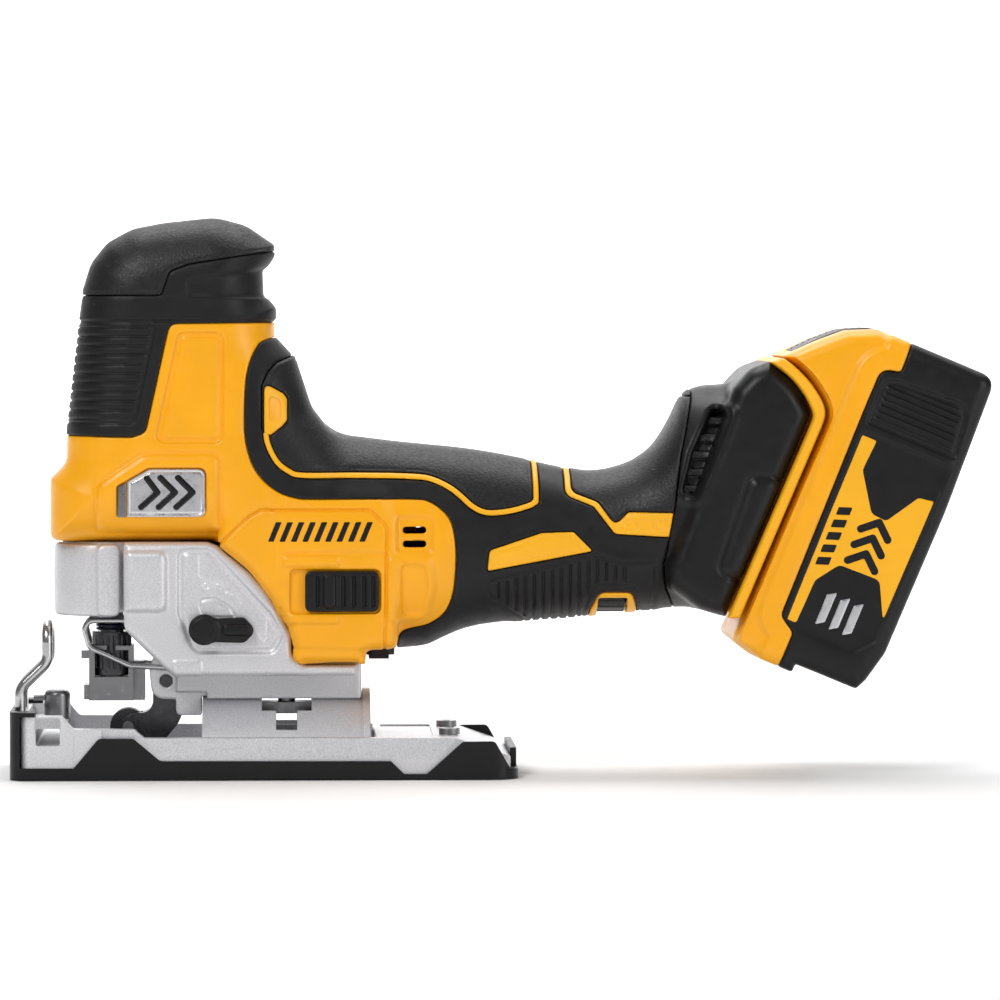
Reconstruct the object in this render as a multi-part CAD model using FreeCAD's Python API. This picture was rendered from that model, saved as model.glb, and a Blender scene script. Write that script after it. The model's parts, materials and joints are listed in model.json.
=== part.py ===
"""Cordless barrel-grip jigsaw, modelled as the separate pieces it is assembled from.

Frame (mm): the origin is where the blade's centre line meets the sole's underside.
+X points to the rear (the battery), -X is the cutting direction, +Y is the tool's
right-hand side and +Z is up, along the plunger.
"""
import FreeCAD
import Part
import math
import os

Vector = FreeCAD.Vector

# ---------------------------------------------------------------- driving dimensions
WALL = 3.4                      # clamshell wall with its overmould
SKIN = 1.6                      # thickness of the rubber overmould
BODY_HALF = 29.5                # half width of the motor housing
COLUMN_HALF = 30.0              # half width of the column under the knob
KNOB_HALF = 28.5
BARREL = [                      # x, centre height, half height, half width
    (98.0, 79.2, 36.0, 29.3),
    (112.0, 78.8, 34.6, 28.8),
    (125.0, 80.6, 31.0, 28.0),
    (145.0, 79.9, 27.6, 26.6),
    (168.0, 79.0, 24.9, 25.6),
    (185.0, 82.4, 26.4, 26.6),
    (203.0, 94.0, 36.5, 30.0),
]

CASE_HALF = 26.0                # half width of the gear case
CASE_WALL = 3.0
SADDLE_R = 27.8                 # outer radius of the saddle about the bevel axis
SADDLE_WALL = 2.5
SEAT_GAP = 0.4                  # gap between the gear case's seat and the saddle
FOOT_HALF = 12.0                # half width of the gear case's foot
TILT_CLEAR_R = 40.3             # everything of the base turns inside this radius

STROKE = 26.0
PLUNGER_X = 2.5
PLUNGER_R = 4.0
RUNNING = 0.05                  # radial clearance of a shaft in its bush

MOTOR_Z = 80.0
MODULE = 0.9
PINION_TEETH = 12
GEAR_TEETH = 48
PRESSURE_ANGLE = math.radians(25.0)
CRANK_Z = MOTOR_Z + MODULE * (PINION_TEETH + GEAR_TEETH) / 2.0
CRANK_R = STROKE / 2.0
GEAR_X = (21.0, 29.0)
ECCENTRIC = 6.0                 # offset of the counterweight's eccentric
ECCENTRIC_R = 11.5
SHAFT_R = 4.0
PINION_SHAFT_R = 2.8
STATOR_R = 25.0
STATOR_X = (68.0, 102.0)
ROTOR_R = 13.6

ROLLER = (8.2, 15.75)           # x, z of the blade roller's axle
ROLLER_R = 6.3
ARM_PIVOT = (21.4, 31.9)        # x, z of the orbital arm's pivot
SELECTOR = (34.8, 50.6)         # x, z of the orbital selector's pivot
DIAL = (175.4, 66.5)            # x, z of the speed wheel's centre
DIAL_R = 11.5

BASE_HALF = 38.0
SHOE_HALF = 39.8
SHOE_FLOOR = 1.6
BLADE_OPENING = (-9.5, 34.0, 14.0)   # x from, x to, half width
BOLT_X = 63.0                   # bevel clamp bolt
BOLT_R = 3.0

PACK_FOOT = (218.1, 54.4)       # x, z where the pack's seam starts at the bottom
PACK_TILT = 22.7                # degrees from vertical, of the slide direction
PACK_HALF = 37.5
PACK_WALL = 2.4
CELL_R = 9.15
CELL_LENGTH = 65.0

nodes = {}


# ---------------------------------------------------------------- drawing helpers
def rounded_path(corners, closed):
    """Lines between corners, with a tangent arc of the given radius at each corner."""
    count = len(corners)
    starts, ends, arcs = [], [], []
    for index in range(count):
        point, radius = corners[index]
        open_end = not closed and index in (0, count - 1)
        if radius <= 0 or open_end:
            starts.append(point)
            ends.append(point)
            arcs.append(None)
            continue
        before = (corners[index - 1][0] - point).normalize()
        after = (corners[(index + 1) % count][0] - point).normalize()
        half = before.getAngle(after) / 2.0
        reach = radius / math.tan(half)
        bisector = (before + after).normalize()
        centre = point + bisector * (radius / math.sin(half))
        starts.append(point + before * reach)
        ends.append(point + after * reach)
        arcs.append(centre - bisector * radius)
    edges = []
    for index in range(count):
        if arcs[index] is not None:
            edges.append(Part.Arc(starts[index], arcs[index], ends[index]).toShape())
        following = (index + 1) % count
        if following == 0 and not closed:
            break
        if (starts[following] - ends[index]).Length > 1e-6:
            edges.append(Part.makeLine(ends[index], starts[following]))
    return Part.Wire(edges)


def place(plane, a, b):
    """A point of a drawing plane, as a vector of the tool's frame."""
    if plane == "xz":
        return Vector(a, 0, b)
    if plane == "xy":
        return Vector(a, b, 0)
    return Vector(0, a, b)


NORMAL = {"xz": Vector(0, 1, 0), "xy": Vector(0, 0, 1), "yz": Vector(1, 0, 0)}


def prism(plane, outline, low, high, grow=0.0):
    """An outline of (a, b) or (a, b, corner radius), extruded from low to high."""
    corners = [(place(plane, c[0], c[1]), c[2] if len(c) > 2 else 0.0) for c in outline]
    wire = rounded_path(corners, True)
    if grow:
        wire = wire.makeOffset2D(grow)
    face = Part.Face(wire)
    face.translate(NORMAL[plane] * low)
    return face.extrude(NORMAL[plane] * (high - low))


def block(x, y, z):
    """A box from three (low, high) pairs."""
    return Part.makeBox(x[1] - x[0], y[1] - y[0], z[1] - z[0], Vector(x[0], y[0], z[0]))


def rod(axis, centre, radius, low, high):
    """A cylinder along x, y or z; centre holds the two other coordinates in order."""
    if axis == "x":
        return Part.makeCylinder(radius, high - low, Vector(low, *centre), Vector(1, 0, 0))
    if axis == "y":
        start = Vector(centre[0], low, centre[1])
        return Part.makeCylinder(radius, high - low, start, Vector(0, 1, 0))
    start = Vector(centre[0], centre[1], low)
    return Part.makeCylinder(radius, high - low, start, Vector(0, 0, 1))


def ring(axis, centre, outer, inner, low, high):
    return rod(axis, centre, outer, low, high).cut(rod(axis, centre, inner, low, high))


def tube(points, bend, radius):
    """A round wire bent along points, with the same bend radius at each."""
    corners = [(Vector(*p), bend) for p in points]
    path = rounded_path(corners, False)
    first = path.Edges[0]
    direction = first.tangentAt(first.FirstParameter)
    start = first.valueAt(first.FirstParameter)
    if (start - corners[0][0]).Length > 1e-3:
        start = first.valueAt(first.LastParameter)
        direction = first.tangentAt(first.LastParameter) * -1
    section = Part.Wire(Part.makeCircle(radius, start, direction))
    return path.makePipeShell([section], True, False)


def mirrored(shape):
    return shape.mirror(Vector(0, 0, 0), Vector(0, 1, 0))


def both_sides(shape):
    return Part.makeCompound([shape, mirrored(shape)])


def fuse_all(shapes):
    result = shapes[0]
    for shape in shapes[1:]:
        result = result.fuse(shape)
    return result


def cut_all(shape, tools):
    for tool in tools:
        shape = shape.cut(tool)
    return shape


def tilted(shape):
    """From the pack's own frame (x out of the seam, z along the slide) to the tool's."""
    shape = shape.copy()
    shape.rotate(Vector(0, 0, 0), Vector(0, 1, 0), PACK_TILT)
    shape.translate(Vector(PACK_FOOT[0], 0, PACK_FOOT[1]))
    return shape


# ---------------------------------------------------------------- outlines of the body
HEAD_SIDE = [
    (-18.3, 80.4, 3.5), (-18.3, 101.8, 3.0), (-12.7, 107.4, 6.0), (-12.4, 118.0, 40.0),
    (-8.0, 156.0, 60.0), (-6.0, 170.0, 20.0), (-2.3, 189.0, 17.0), (38.0, 192.4, 14.0),
    (61.2, 181.8, 3.5), (55.7, 172.6, 2.0), (56.0, 163.6, 1.0), (59.4, 160.0, 2.0),
    (59.0, 150.8, 2.0), (66.0, 143.2, 4.0), (71.6, 126.0, 12.0), (79.0, 116.4, 8.0),
    (96.0, 114.6), (96.0, 80.4),
]
MOTOR_SIDE = [
    (39.6, 79.2), (50.2, 70.6, 20.0), (62.5, 54.2, 14.0), (65.0, 46.0, 2.0),
    (65.2, 38.5, 5.0), (90.0, 38.5), (90.2, 43.2, 3.0), (111.0, 43.5), (111.0, 113.4),
    (72.0, 117.4), (39.6, 100.0),
]
MOTOR_FRONT = [
    (-BODY_HALF, 38.3, 9.0), (BODY_HALF, 38.3, 9.0),
    (BODY_HALF, 117.6, 20.0), (-BODY_HALF, 117.6, 20.0),
]
NOSE_PLAN = [
    (-18.3, -BODY_HALF, 21.0), (100.0, -BODY_HALF), (100.0, BODY_HALF), (-18.3, BODY_HALF, 21.0),
]
COLUMN_PLAN = [
    (-12.9, -COLUMN_HALF, 21.0), (76.0, -COLUMN_HALF, 24.0),
    (76.0, COLUMN_HALF, 24.0), (-12.9, COLUMN_HALF, 21.0),
]
KNOB_PLAN = [
    (-8.6, -KNOB_HALF, 24.0), (60.0, -KNOB_HALF, 24.0),
    (60.0, KNOB_HALF, 24.0), (-8.6, KNOB_HALF, 24.0),
]
HEAD_FRONT = [
    (-33.0, 78.0), (33.0, 78.0), (33.0, 150.0, 30.0), (27.5, 192.6, 20.0),
    (-27.5, 192.6, 20.0), (-33.0, 150.0, 30.0),
]
FOOT_SIDE = [
    (204.8, 56.9, 2.0), (193.4, 64.8, 5.0), (192.6, 72.0, 4.0), (199.2, 96.0, 10.0),
    (200.2, 129.8, 3.0), (206.0, 133.6, 4.0), (214.5, 134.3, 3.0), (222.0, 139.8, 8.0),
    (228.6, 142.0, 0.5), (237.6, 134.8, 6.0), (243.8, 125.0, 3.0), (213.8, 54.4, 1.0),
]
RING_SIDE = [
    (228.9, 142.2), (232.6, 143.5), (241.6, 135.8, 5.0), (247.3, 124.7, 4.0),
    (218.0, 54.6), (214.1, 54.6), (243.4, 125.0, 3.0), (237.4, 135.0, 5.0),
]


def barrel_section(x, height, tall, wide):
    """A closed rounded section, a little squarer than an ellipse."""
    points = []
    for step in range(16):
        angle = 2 * math.pi * step / 16
        y = math.copysign(abs(math.cos(angle)) ** 0.88, math.cos(angle)) * wide
        z = math.copysign(abs(math.sin(angle)) ** 0.88, math.sin(angle)) * tall
        points.append(Vector(x, y, height + z))
    curve = Part.BSplineCurve()
    curve.interpolate(points, PeriodicFlag=True)
    return Part.Wire([curve.toShape()])


def barrel_blank(inset):
    """The hand grip: one loft through the sections standing across the X axis."""
    sections = [barrel_section(x, z, tall - inset, wide - inset) for x, z, tall, wide in BARREL]
    return Part.makeLoft(sections, True)


def head_blank(inset):
    side = prism("xz", HEAD_SIDE, -40, 40, -inset)
    nose = prism("xy", NOSE_PLAN, 70, 112, -inset)
    column = prism("xy", COLUMN_PLAN, 104, 158, -inset)
    knob = prism("xy", KNOB_PLAN, 150, 200, -inset)
    front = prism("yz", HEAD_FRONT, -30, 110, -inset)
    plan = fuse_all([nose, column, knob])
    return side.common(plan).common(front)


def motor_blank(inset):
    side = prism("xz", MOTOR_SIDE, -40, 40, -inset)
    return side.common(prism("yz", MOTOR_FRONT, 30, 120, -inset))


def foot_blank(inset):
    return prism("xz", FOOT_SIDE, -33.0 + inset, 33.0 - inset, -inset)


def body_blank(inset):
    """The whole body without the gear case, shrunk by inset on every side."""
    return fuse_all([head_blank(inset), motor_blank(inset), barrel_blank(inset), foot_blank(inset)])


# ---------------------------------------------------------------- regions of the overmoulds
FRONT_GRIP_ZONE = [
    (-30.0, 117.3), (10.1, 116.5, 4.0), (14.6, 117.5, 4.0), (22.9, 154.5, 3.0), (62.0, 155.6),
    (62.0, 164.4), (-30.0, 164.4),
]
KNOB_PAD_ZONE = [
    (-30.0, 164.7), (20.5, 164.7), (23.2, 173.0, 4.0), (30.0, 175.6, 6.0), (62.0, 180.4),
    (62.0, 200.0), (-30.0, 200.0),
]
SLEEVE_ZONE = [
    (59.2, 152.0), (54.4, 148.9, 4.0), (49.0, 138.0, 12.0), (48.6, 116.0, 12.0),
    (52.5, 95.3, 18.0), (106.6, 95.1, 8.0), (121.0, 92.0, 12.0), (121.2, 52.0, 14.0),
    (101.8, 50.0, 3.0), (101.4, 40.0), (190.0, 40.0), (204.0, 52.0), (193.2, 64.8, 4.0),
    (192.4, 72.0, 4.0), (199.0, 96.0, 10.0), (200.0, 140.0), (90.0, 160.0),
]
FRONT_PAD_ZONE = [
    (60.0, 150.0), (64.6, 144.2), (63.6, 131.0, 3.0), (62.6, 120.5, 3.0), (57.4, 117.2, 2.0),
    (59.5, 104.4, 12.0), (108.5, 103.7, 20.0), (129.0, 91.6, 10.0), (147.3, 93.2, 3.0),
    (146.6, 130.0), (90.0, 150.0),
]
REAR_PAD_ZONE = [
    (160.0, 130.0), (160.2, 96.0, 4.0), (169.0, 93.4, 4.0), (175.6, 84.6, 2.0), (180.0, 90.3, 2.0),
    (197.6, 90.0, 2.0), (199.4, 104.0), (200.6, 128.0), (200.0, 140.0),
]
BADGE_ZONE = [
    (131.7, 70.3), (132.4, 77.6, 2.0), (150.5, 83.6, 6.0), (161.5, 83.9, 1.0), (168.3, 77.1, 1.0),
]
LOGO_WINDOW = [
    (5.0, 88.9), (5.0, 99.8, 0.5), (16.0, 106.1, 3.0), (35.7, 106.1, 3.0), (35.7, 88.9, 3.0),
]


# ---------------------------------------------------------------- gears
def involute_angle(radius, base):
    if radius <= base:
        return 0.0
    angle = math.acos(base / radius)
    return math.tan(angle) - angle


def gear_face(teeth, first_tooth, backlash=0.10):
    """A spur gear's outline in the YZ plane, with a tooth centred on first_tooth."""
    pitch_r = MODULE * teeth / 2.0
    base_r = pitch_r * math.cos(PRESSURE_ANGLE)
    root_r = pitch_r - 1.25 * MODULE
    tip_r = pitch_r + MODULE
    half_pitch = math.pi / (2 * teeth) - backlash / (2 * pitch_r)
    at_pitch = involute_angle(pitch_r, base_r)
    start_r = max(base_r, root_r)
    flank = [root_r] if root_r < base_r else []
    flank += [start_r + (tip_r - start_r) * step / 3.0 for step in range(4)]
    points = []
    for tooth in range(teeth):
        middle = first_tooth + 2 * math.pi * tooth / teeth
        rising = []
        for radius in flank:
            half = half_pitch + at_pitch - involute_angle(radius, base_r)
            rising.append((radius, half))
        for radius, half in rising:
            points.append((radius, middle - half))
        for radius, half in reversed(rising):
            points.append((radius, middle + half))
    vectors = [Vector(0, r * math.cos(a), r * math.sin(a)) for r, a in points]
    return Part.Face(Part.makePolygon(vectors + [vectors[0]]))


def gear(teeth, first_tooth, centre_z, x_range):
    face = gear_face(teeth, first_tooth)
    face.translate(Vector(x_range[0], 0, centre_z))
    return face.extrude(Vector(x_range[1] - x_range[0], 0, 0))


# ---------------------------------------------------------------- drive
def build_drive():
    """Motor, gears, crank, plunger and counterweight."""
    stator = ring("x", (0, MOTOR_Z), STATOR_R, 20.0, *STATOR_X)
    teeth, coils = [], []
    for index in range(6):
        angle = 60.0 * index
        tooth = block(STATOR_X, (-3.0, 3.0), (14.2, 20.6))
        tooth = tooth.fuse(block(STATOR_X, (-5.2, 5.2), (14.2, 15.4)))
        coil = block((62.5, 107.5), (-6.4, 6.4), (15.8, 18.9))
        coil = coil.cut(block((67.8, 102.2), (-3.1, 3.1), (10.0, 25.0)))
        for shape in (tooth, coil):
            shape.rotate(Vector(0, 0, 0), Vector(1, 0, 0), angle)
            shape.translate(Vector(0, 0, MOTOR_Z))
        teeth.append(tooth)
        coils.append(coil)
    nodes["motor_stator"] = fuse_all([stator] + teeth)
    nodes["stator_windings"] = Part.makeCompound(coils)

    shaft = rod("x", (0, MOTOR_Z), SHAFT_R, 41.0, 127.4)
    shaft = shaft.fuse(rod("x", (0, MOTOR_Z), PINION_SHAFT_R, 20.0, 41.0))
    nodes["rotor_shaft"] = shaft
    nodes["rotor_core"] = ring("x", (0, MOTOR_Z), ROTOR_R, SHAFT_R, 67.0, 103.0)
    pinion = gear(PINION_TEETH, math.pi / 2, MOTOR_Z, (GEAR_X[0] - 0.5, GEAR_X[1] + 0.5))
    nodes["drive_pinion"] = pinion.cut(rod("x", (0, MOTOR_Z), PINION_SHAFT_R, 15, 45))

    hub = ring("x", (0, MOTOR_Z), 9.0, SHAFT_R, 110.0, 118.0)
    back = ring("x", (0, MOTOR_Z), 23.5, 8.5, 116.6, 118.0)
    blades = []
    for index in range(11):
        blade = block((110.5, 117.0), (-0.7, 0.7), (8.5, 23.0))
        blade.rotate(Vector(114, 0, 8.5), Vector(0, 0, 1), 20.0)
        blade = blade.common(block((110.2, 117.0), (-5, 5), (8, 24)))
        blade.rotate(Vector(0, 0, 0), Vector(1, 0, 0), 360.0 * index / 11)
        blade.translate(Vector(0, 0, MOTOR_Z))
        blades.append(blade)
    nodes["cooling_fan"] = fuse_all([hub, back] + blades)

    bearings = [ring("x", (0, MOTOR_Z), 11.0, SHAFT_R + RUNNING, x, x + 7.0) for x in (44.0, 121.0)]
    nodes["motor_bearings"] = Part.makeCompound(bearings)

    wheel = gear(GEAR_TEETH, math.radians(270 + 180.0 / GEAR_TEETH), CRANK_Z, GEAR_X)
    for index in range(4):
        angle = math.radians(45 + 90 * index)
        centre = (13.0 * math.cos(angle), CRANK_Z + 13.0 * math.sin(angle))
        wheel = wheel.cut(rod("x", centre, 3.6, GEAR_X[0], GEAR_X[1]))
    eccentric = rod("x", (0, CRANK_Z + ECCENTRIC), ECCENTRIC_R, GEAR_X[1], GEAR_X[1] + 2.0)
    axle_hole = rod("x", (0, CRANK_Z), 5.0 + RUNNING, 10, 60)
    pin_centre = (0, CRANK_Z - CRANK_R)
    wheel = wheel.fuse(eccentric).cut(axle_hole)
    nodes["crank_gear"] = wheel.cut(rod("x", pin_centre, 3.0, 10, 25.5))
    pin = rod("x", pin_centre, 3.5, 13.0, GEAR_X[0]).fuse(rod("x", pin_centre, 3.0, 20.0, 25.5))
    nodes["crank_pin"] = pin

    plate = prism("yz", [(-22, 70, 6), (22, 70, 6), (22, 119, 10), (-22, 119, 10)], 44.0, 51.0)
    holes = [rod("x", (0, MOTOR_Z), 11.0, 40, 55), rod("x", (0, CRANK_Z), 5.0, 40, 55)]
    nodes["bearing_plate"] = cut_all(plate, holes)

    slot_z = CRANK_Z + ECCENTRIC
    slot_half = ECCENTRIC_R + 0.1
    reach = slot_half + ECCENTRIC + 0.4
    weight = block((31.6, 36.6), (-23.0, 23.0), (slot_z - 14.8, slot_z + 27.0))
    weight = weight.fuse(block((36.6, 42.6), (-20.0, 20.0), (slot_z + 13.0, slot_z + 27.0)))
    window = prism("yz", [
        (-reach, slot_z - slot_half, slot_half - 0.5), (reach, slot_z - slot_half, slot_half - 0.5),
        (reach, slot_z + slot_half, slot_half - 0.5), (-reach, slot_z + slot_half, slot_half - 0.5),
    ], 30.0, 38.0)
    rails = [rod("z", (34.1, side * 20.6), 1.6, 84.5, 142.5) for side in (-1, 1)]
    bores = [rod("z", (34.1, side * 20.6), 1.6 + RUNNING, 80, 150) for side in (-1, 1)]
    nodes["counterweight"] = cut_all(weight, [window] + bores)
    nodes["counterweight_guides"] = Part.makeCompound(rails)

    axis = (PLUNGER_X, 0)
    nodes["plunger_shaft"] = rod("z", axis, PLUNGER_R, 33.0, 139.5)
    pin_z = CRANK_Z - CRANK_R
    hub = block((-3.0, 8.2), (-8.0, 8.0), (pin_z - 5.2, pin_z + 5.2))
    face = block((8.0, 12.4), (-19.5, 19.5), (pin_z - 5.4, pin_z + 5.4))
    slot = prism("yz", [
        (-16.7, pin_z - 3.6, 3.5), (16.7, pin_z - 3.6, 3.5),
        (16.7, pin_z + 3.6, 3.5), (-16.7, pin_z + 3.6, 3.5),
    ], 9.4, 14.0)
    nodes["scotch_yoke"] = hub.fuse(face).cut(slot).cut(rod("z", axis, PLUNGER_R, 60, 130))
    bush_rows = ((79.6, 87.4), (127.4, 136.6))
    bushes = [ring("z", axis, 8.0, PLUNGER_R + RUNNING, low, high) for low, high in bush_rows]
    nodes["plunger_bushings"] = Part.makeCompound(bushes)


def build_clamp():
    """Quick-change blade clamp on the plunger, its turning collar and spring."""
    axis = (PLUNGER_X, 0)
    bore = rod("z", axis, PLUNGER_R, 20, 60)
    frame = block((-5.2, 10.2), (-7.2, 7.2), (25.0, 44.0))
    frame = frame.cut(block((-3.2, 8.4), (-9, 9), (33.2, 42.4)))
    frame = frame.fuse(block((10.2, 14.0), (-5.0, 5.0), (25.0, 38.5)))
    frame = frame.fuse(block((-8.0, -5.2), (-2.4, 2.4), (39.3, 42.0)))
    frame = frame.fuse(block((-7.0, -5.2), (-6.0, 6.0), (25.3, 30.3)))
    blade_slot = block((-1.7, 6.7), (-0.75, 0.75), (20.0, 36.0))
    collar_room = rod("z", axis, 7.3, 33.2, 60.0)
    nodes["clamp_body"] = cut_all(frame, [collar_room, bore, blade_slot])
    sleeve = ring("z", axis, 6.8, PLUNGER_R + RUNNING, 33.6, 48.6)
    flutes = []
    for index in range(18):
        angle = math.radians(20.0 * index)
        centre = (PLUNGER_X + 7.0 * math.cos(angle), 7.0 * math.sin(angle))
        flutes.append(rod("z", centre, 0.55, 36.0, 47.5))
    nodes["clamp_collar"] = cut_all(sleeve, flutes)
    coils = []
    for index in range(3):
        ring_z = 49.6 + 1.2 * index
        turn = Part.makeTorus(5.0, 0.5, Vector(PLUNGER_X, 0, ring_z), Vector(0, 0, 1))
        coils.append(turn)
    nodes["clamp_spring"] = Part.makeCompound(coils)
    nodes["plunger_shaft"] = nodes["plunger_shaft"].cut(blade_slot)


# ---------------------------------------------------------------- gear case and front
CASE_SIDE = [
    (7.3, 80.3), (7.3, 50.6, 6.0), (21.5, 36.7, 3.0), (24.8, 34.4, 4.0), (87.0, 34.4),
    (87.0, 38.2), (69.0, 38.2, 5.0), (64.7, 41.5, 3.0), (64.6, 48.4, 3.0), (56.8, 62.6, 10.0),
    (50.0, 70.4, 14.0), (39.4, 79.0, 4.0), (36.0, 80.3, 3.0),
]
LEVER_R = 20.0
NOSE_R = 17.0


def build_gear_case():
    outer = prism("xz", CASE_SIDE, -CASE_HALF, CASE_HALF)
    hollow = prism("xz", [
        (18.5, 90.0), (18.5, 50.0, 3.0), (27.0, 42.0, 4.0), (61.6, 42.0, 3.0),
        (61.6, 48.0, 6.0), (47.0, 69.5, 10.0), (38.0, 76.8), (38.0, 90.0),
    ], -CASE_HALF + CASE_WALL, CASE_HALF - CASE_WALL)
    nose = rod("z", (PLUNGER_X, 0), NOSE_R, 56.0, 80.3)
    bridge = block((2.5, 20.0), (-NOSE_R, NOSE_R), (56.0, 80.3))
    block_side = [(7.6, 56.3, 2.0), (22.2, 56.3, 3.5), (22.2, 77.8, 3.5), (7.6, 77.8, 2.0)]
    cheeks = both_sides(prism("xz", block_side, CASE_HALF - 1.0, CASE_HALF + 1.4))
    foot = block((24.8, 88.8), (-FOOT_HALF, FOOT_HALF), (20.0, 38.4))
    rear_lug = block((86.0, 88.8), (-FOOT_HALF, FOOT_HALF), (28.5, 38.2))
    ear = prism("xz", [
        (15.6, 36.5, 2.0), (16.6, 25.6, 5.0), (26.0, 25.4, 2.0), (31.0, 30.0), (30.0, 40.0),
        (17.0, 40.0),
    ], -9.6, 9.6)
    shell = fuse_all([outer.cut(hollow), nose, bridge, cheeks, ear])
    tilt_room = rod("x", (0, 0), TILT_CLEAR_R, -40, 150)
    tilt_room = tilt_room.cut(block((-60, 160), (-FOOT_HALF, FOOT_HALF), (0, 60)))
    shell = shell.cut(tilt_room)
    foot = fuse_all([foot, rear_lug])
    shell = shell.fuse(foot).cut(rod("x", (0, 0), SADDLE_R + SEAT_GAP, 30.0, 150))
    arm_room = block((10.0, 32.5), (-6.1, 6.1), (10.0, 40.5))
    clamp_room = rod("z", (PLUNGER_X, 0), 13.5, 10.0, 79.4)
    tools = [
        arm_room, clamp_room,
        block((24.7, 35.5), (-30, 30), (10.0, 28.2)).cut(block((24, 31.1), (-9.7, 9.7), (0, 40))),
        rod("z", (PLUNGER_X, 0), 8.0, 70, 90),
        rod("y", ARM_PIVOT, 2.0, -40, 40),
        rod("y", SELECTOR, 4.0 + RUNNING, -40, 0),
        rod("x", (0, MOTOR_Z), 7.2, 17.5, 80),
        rod("x", (0, CRANK_Z), 24.5, 19.0, 43.0),
        block((43.0, 52.0), (-22.4, 22.4), (68.8, 91.2)),
        rod("z", (BOLT_X, 0), BOLT_R, 10, 60),
        block((53.0, 95.0), (-FOOT_HALF, FOOT_HALF), (38.4, 45.0)),
        rod("x", (0, 47.0), 2.3, 10.0, 25.0),
    ]
    case = cut_all(shell, tools)
    case = fuse_all([case, ring("x", (0, 47.0), 4.0, 2.3, 16.2, 20.4)])
    nodes["gear_case"] = case.cut(clamp_room)
    nodes["led_lens"] = rod("x", (0, 47.0), 2.3, 16.6, 20.4)


def sector(centre, radius, start, stop, low, high):
    """A wedge about a vertical axis, from angle start to stop in degrees."""
    steps = 8
    points = [Vector(centre[0], centre[1], low)]
    for step in range(steps + 1):
        angle = math.radians(start + (stop - start) * step / steps)
        x = centre[0] + radius * math.cos(angle)
        y = centre[1] + radius * math.sin(angle)
        points.append(Vector(x, y, low))
    face = Part.Face(Part.makePolygon(points + [points[0]]))
    return face.extrude(Vector(0, 0, high - low))


def build_release_lever():
    axis = (PLUNGER_X, 0)
    shell = ring("z", axis, LEVER_R, NOSE_R + 0.4, 55.2, 79.6)
    lip = ring("z", axis, LEVER_R - 0.5, 14.2, 54.4, 55.5)
    wedge = sector(axis, 40.0, 150.0, 276.0, 50.0, 82.0)
    rib = prism("xy", [
        (-1.8, -22.4, 1.6), (6.0, -22.4, 1.6), (6.0, -17.6), (-1.8, -17.6),
    ], 55.4, 79.4)
    rib = rib.cut(rod("z", axis, NOSE_R + 0.4, 50, 90))
    nodes["release_lever"] = fuse_all([shell.fuse(lip).common(wedge), rib])


def build_wire_guard():
    side = tube([
        (24.0, -9.6, 36.3), (9.0, -9.6, 37.2), (-5.0, -9.6, 43.6), (-7.6, -9.6, 52.8),
        (12.0, -9.6, 52.8),
    ], 3.2, 1.0)
    side = side.cut(nodes["gear_case"])
    near = max(side.Solids, key=lambda solid: solid.Volume)
    nodes["wire_guard"] = both_sides(near)


def build_orbital():
    """Swinging arm with the blade roller, and the selector that limits its swing."""
    px, pz = ARM_PIVOT
    rx, rz = ROLLER
    cheek = prism("xz", [
        (px - 4.6, pz + 4.2, 4.0), (px - 4.6, 22.0, 4.0), (13.5, 20.6, 3.0), (rx + 1.0, 20.5, 4.0),
        (rx - 3.8, rz + 1.0, 3.5), (rx - 1.0, rz - 4.0, 3.5), (15.5, 11.0, 3.0), (20.5, 10.8, 4.0),
        (26.8, 18.5, 10.0), (27.4, 28.0, 6.0), (px + 5.4, pz + 4.2, 4.0),
    ], -5.6, 5.6)
    gap = rod("y", ROLLER, ROLLER_R + 0.7, -3.3, 3.3)
    arm = cheek.cut(gap).cut(rod("y", ARM_PIVOT, 2.0 + RUNNING, -9, 9))
    nodes["roller_arm"] = arm.cut(rod("y", ROLLER, 1.9, -9, 9))
    nodes["roller_pin"] = rod("y", ROLLER, 1.9, -5.6, 5.6)
    wheel = ring("y", ROLLER, ROLLER_R, 1.9 + RUNNING, -2.9, 2.9)
    groove = ring("y", ROLLER, ROLLER_R + 1, ROLLER_R - 1.3, -0.9, 0.9)
    nodes["blade_roller"] = wheel.cut(groove)
    crank_axle = rod("x", (0, CRANK_Z), 5.0, 20.0, 51.0)
    arm_pivot = rod("y", ARM_PIVOT, 2.0, -9.9, 9.9)
    nodes["case_pins"] = Part.makeCompound([crank_axle, arm_pivot])

    sx, sz = SELECTOR
    face = -CASE_HALF - 0.4
    knob = rod("y", SELECTOR, 5.3, face - 3.6, face)
    handle = prism("xz", [
        (sx, sz - 4.4), (52.9, sz - 4.4, 4.3), (52.9, sz + 4.2, 4.3), (sx, sz + 4.2),
    ], face - 3.2, face)
    ridge = prism("xz", [
        (41.5, sz - 1.9, 1.5), (50.4, sz - 1.9, 1.5), (50.4, sz + 1.7, 1.5), (41.5, sz + 1.7, 1.5),
    ], face - 4.0, face - 3.0)
    nodes["orbit_selector"] = fuse_all([knob, handle, ridge])
    shaft = rod("y", SELECTOR, 4.0, face, -17.0)
    cam = rod("y", (sx, sz - 2.0), 6.2, -21.5, -17.5)
    nodes["orbit_cam"] = shaft.fuse(cam)


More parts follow.
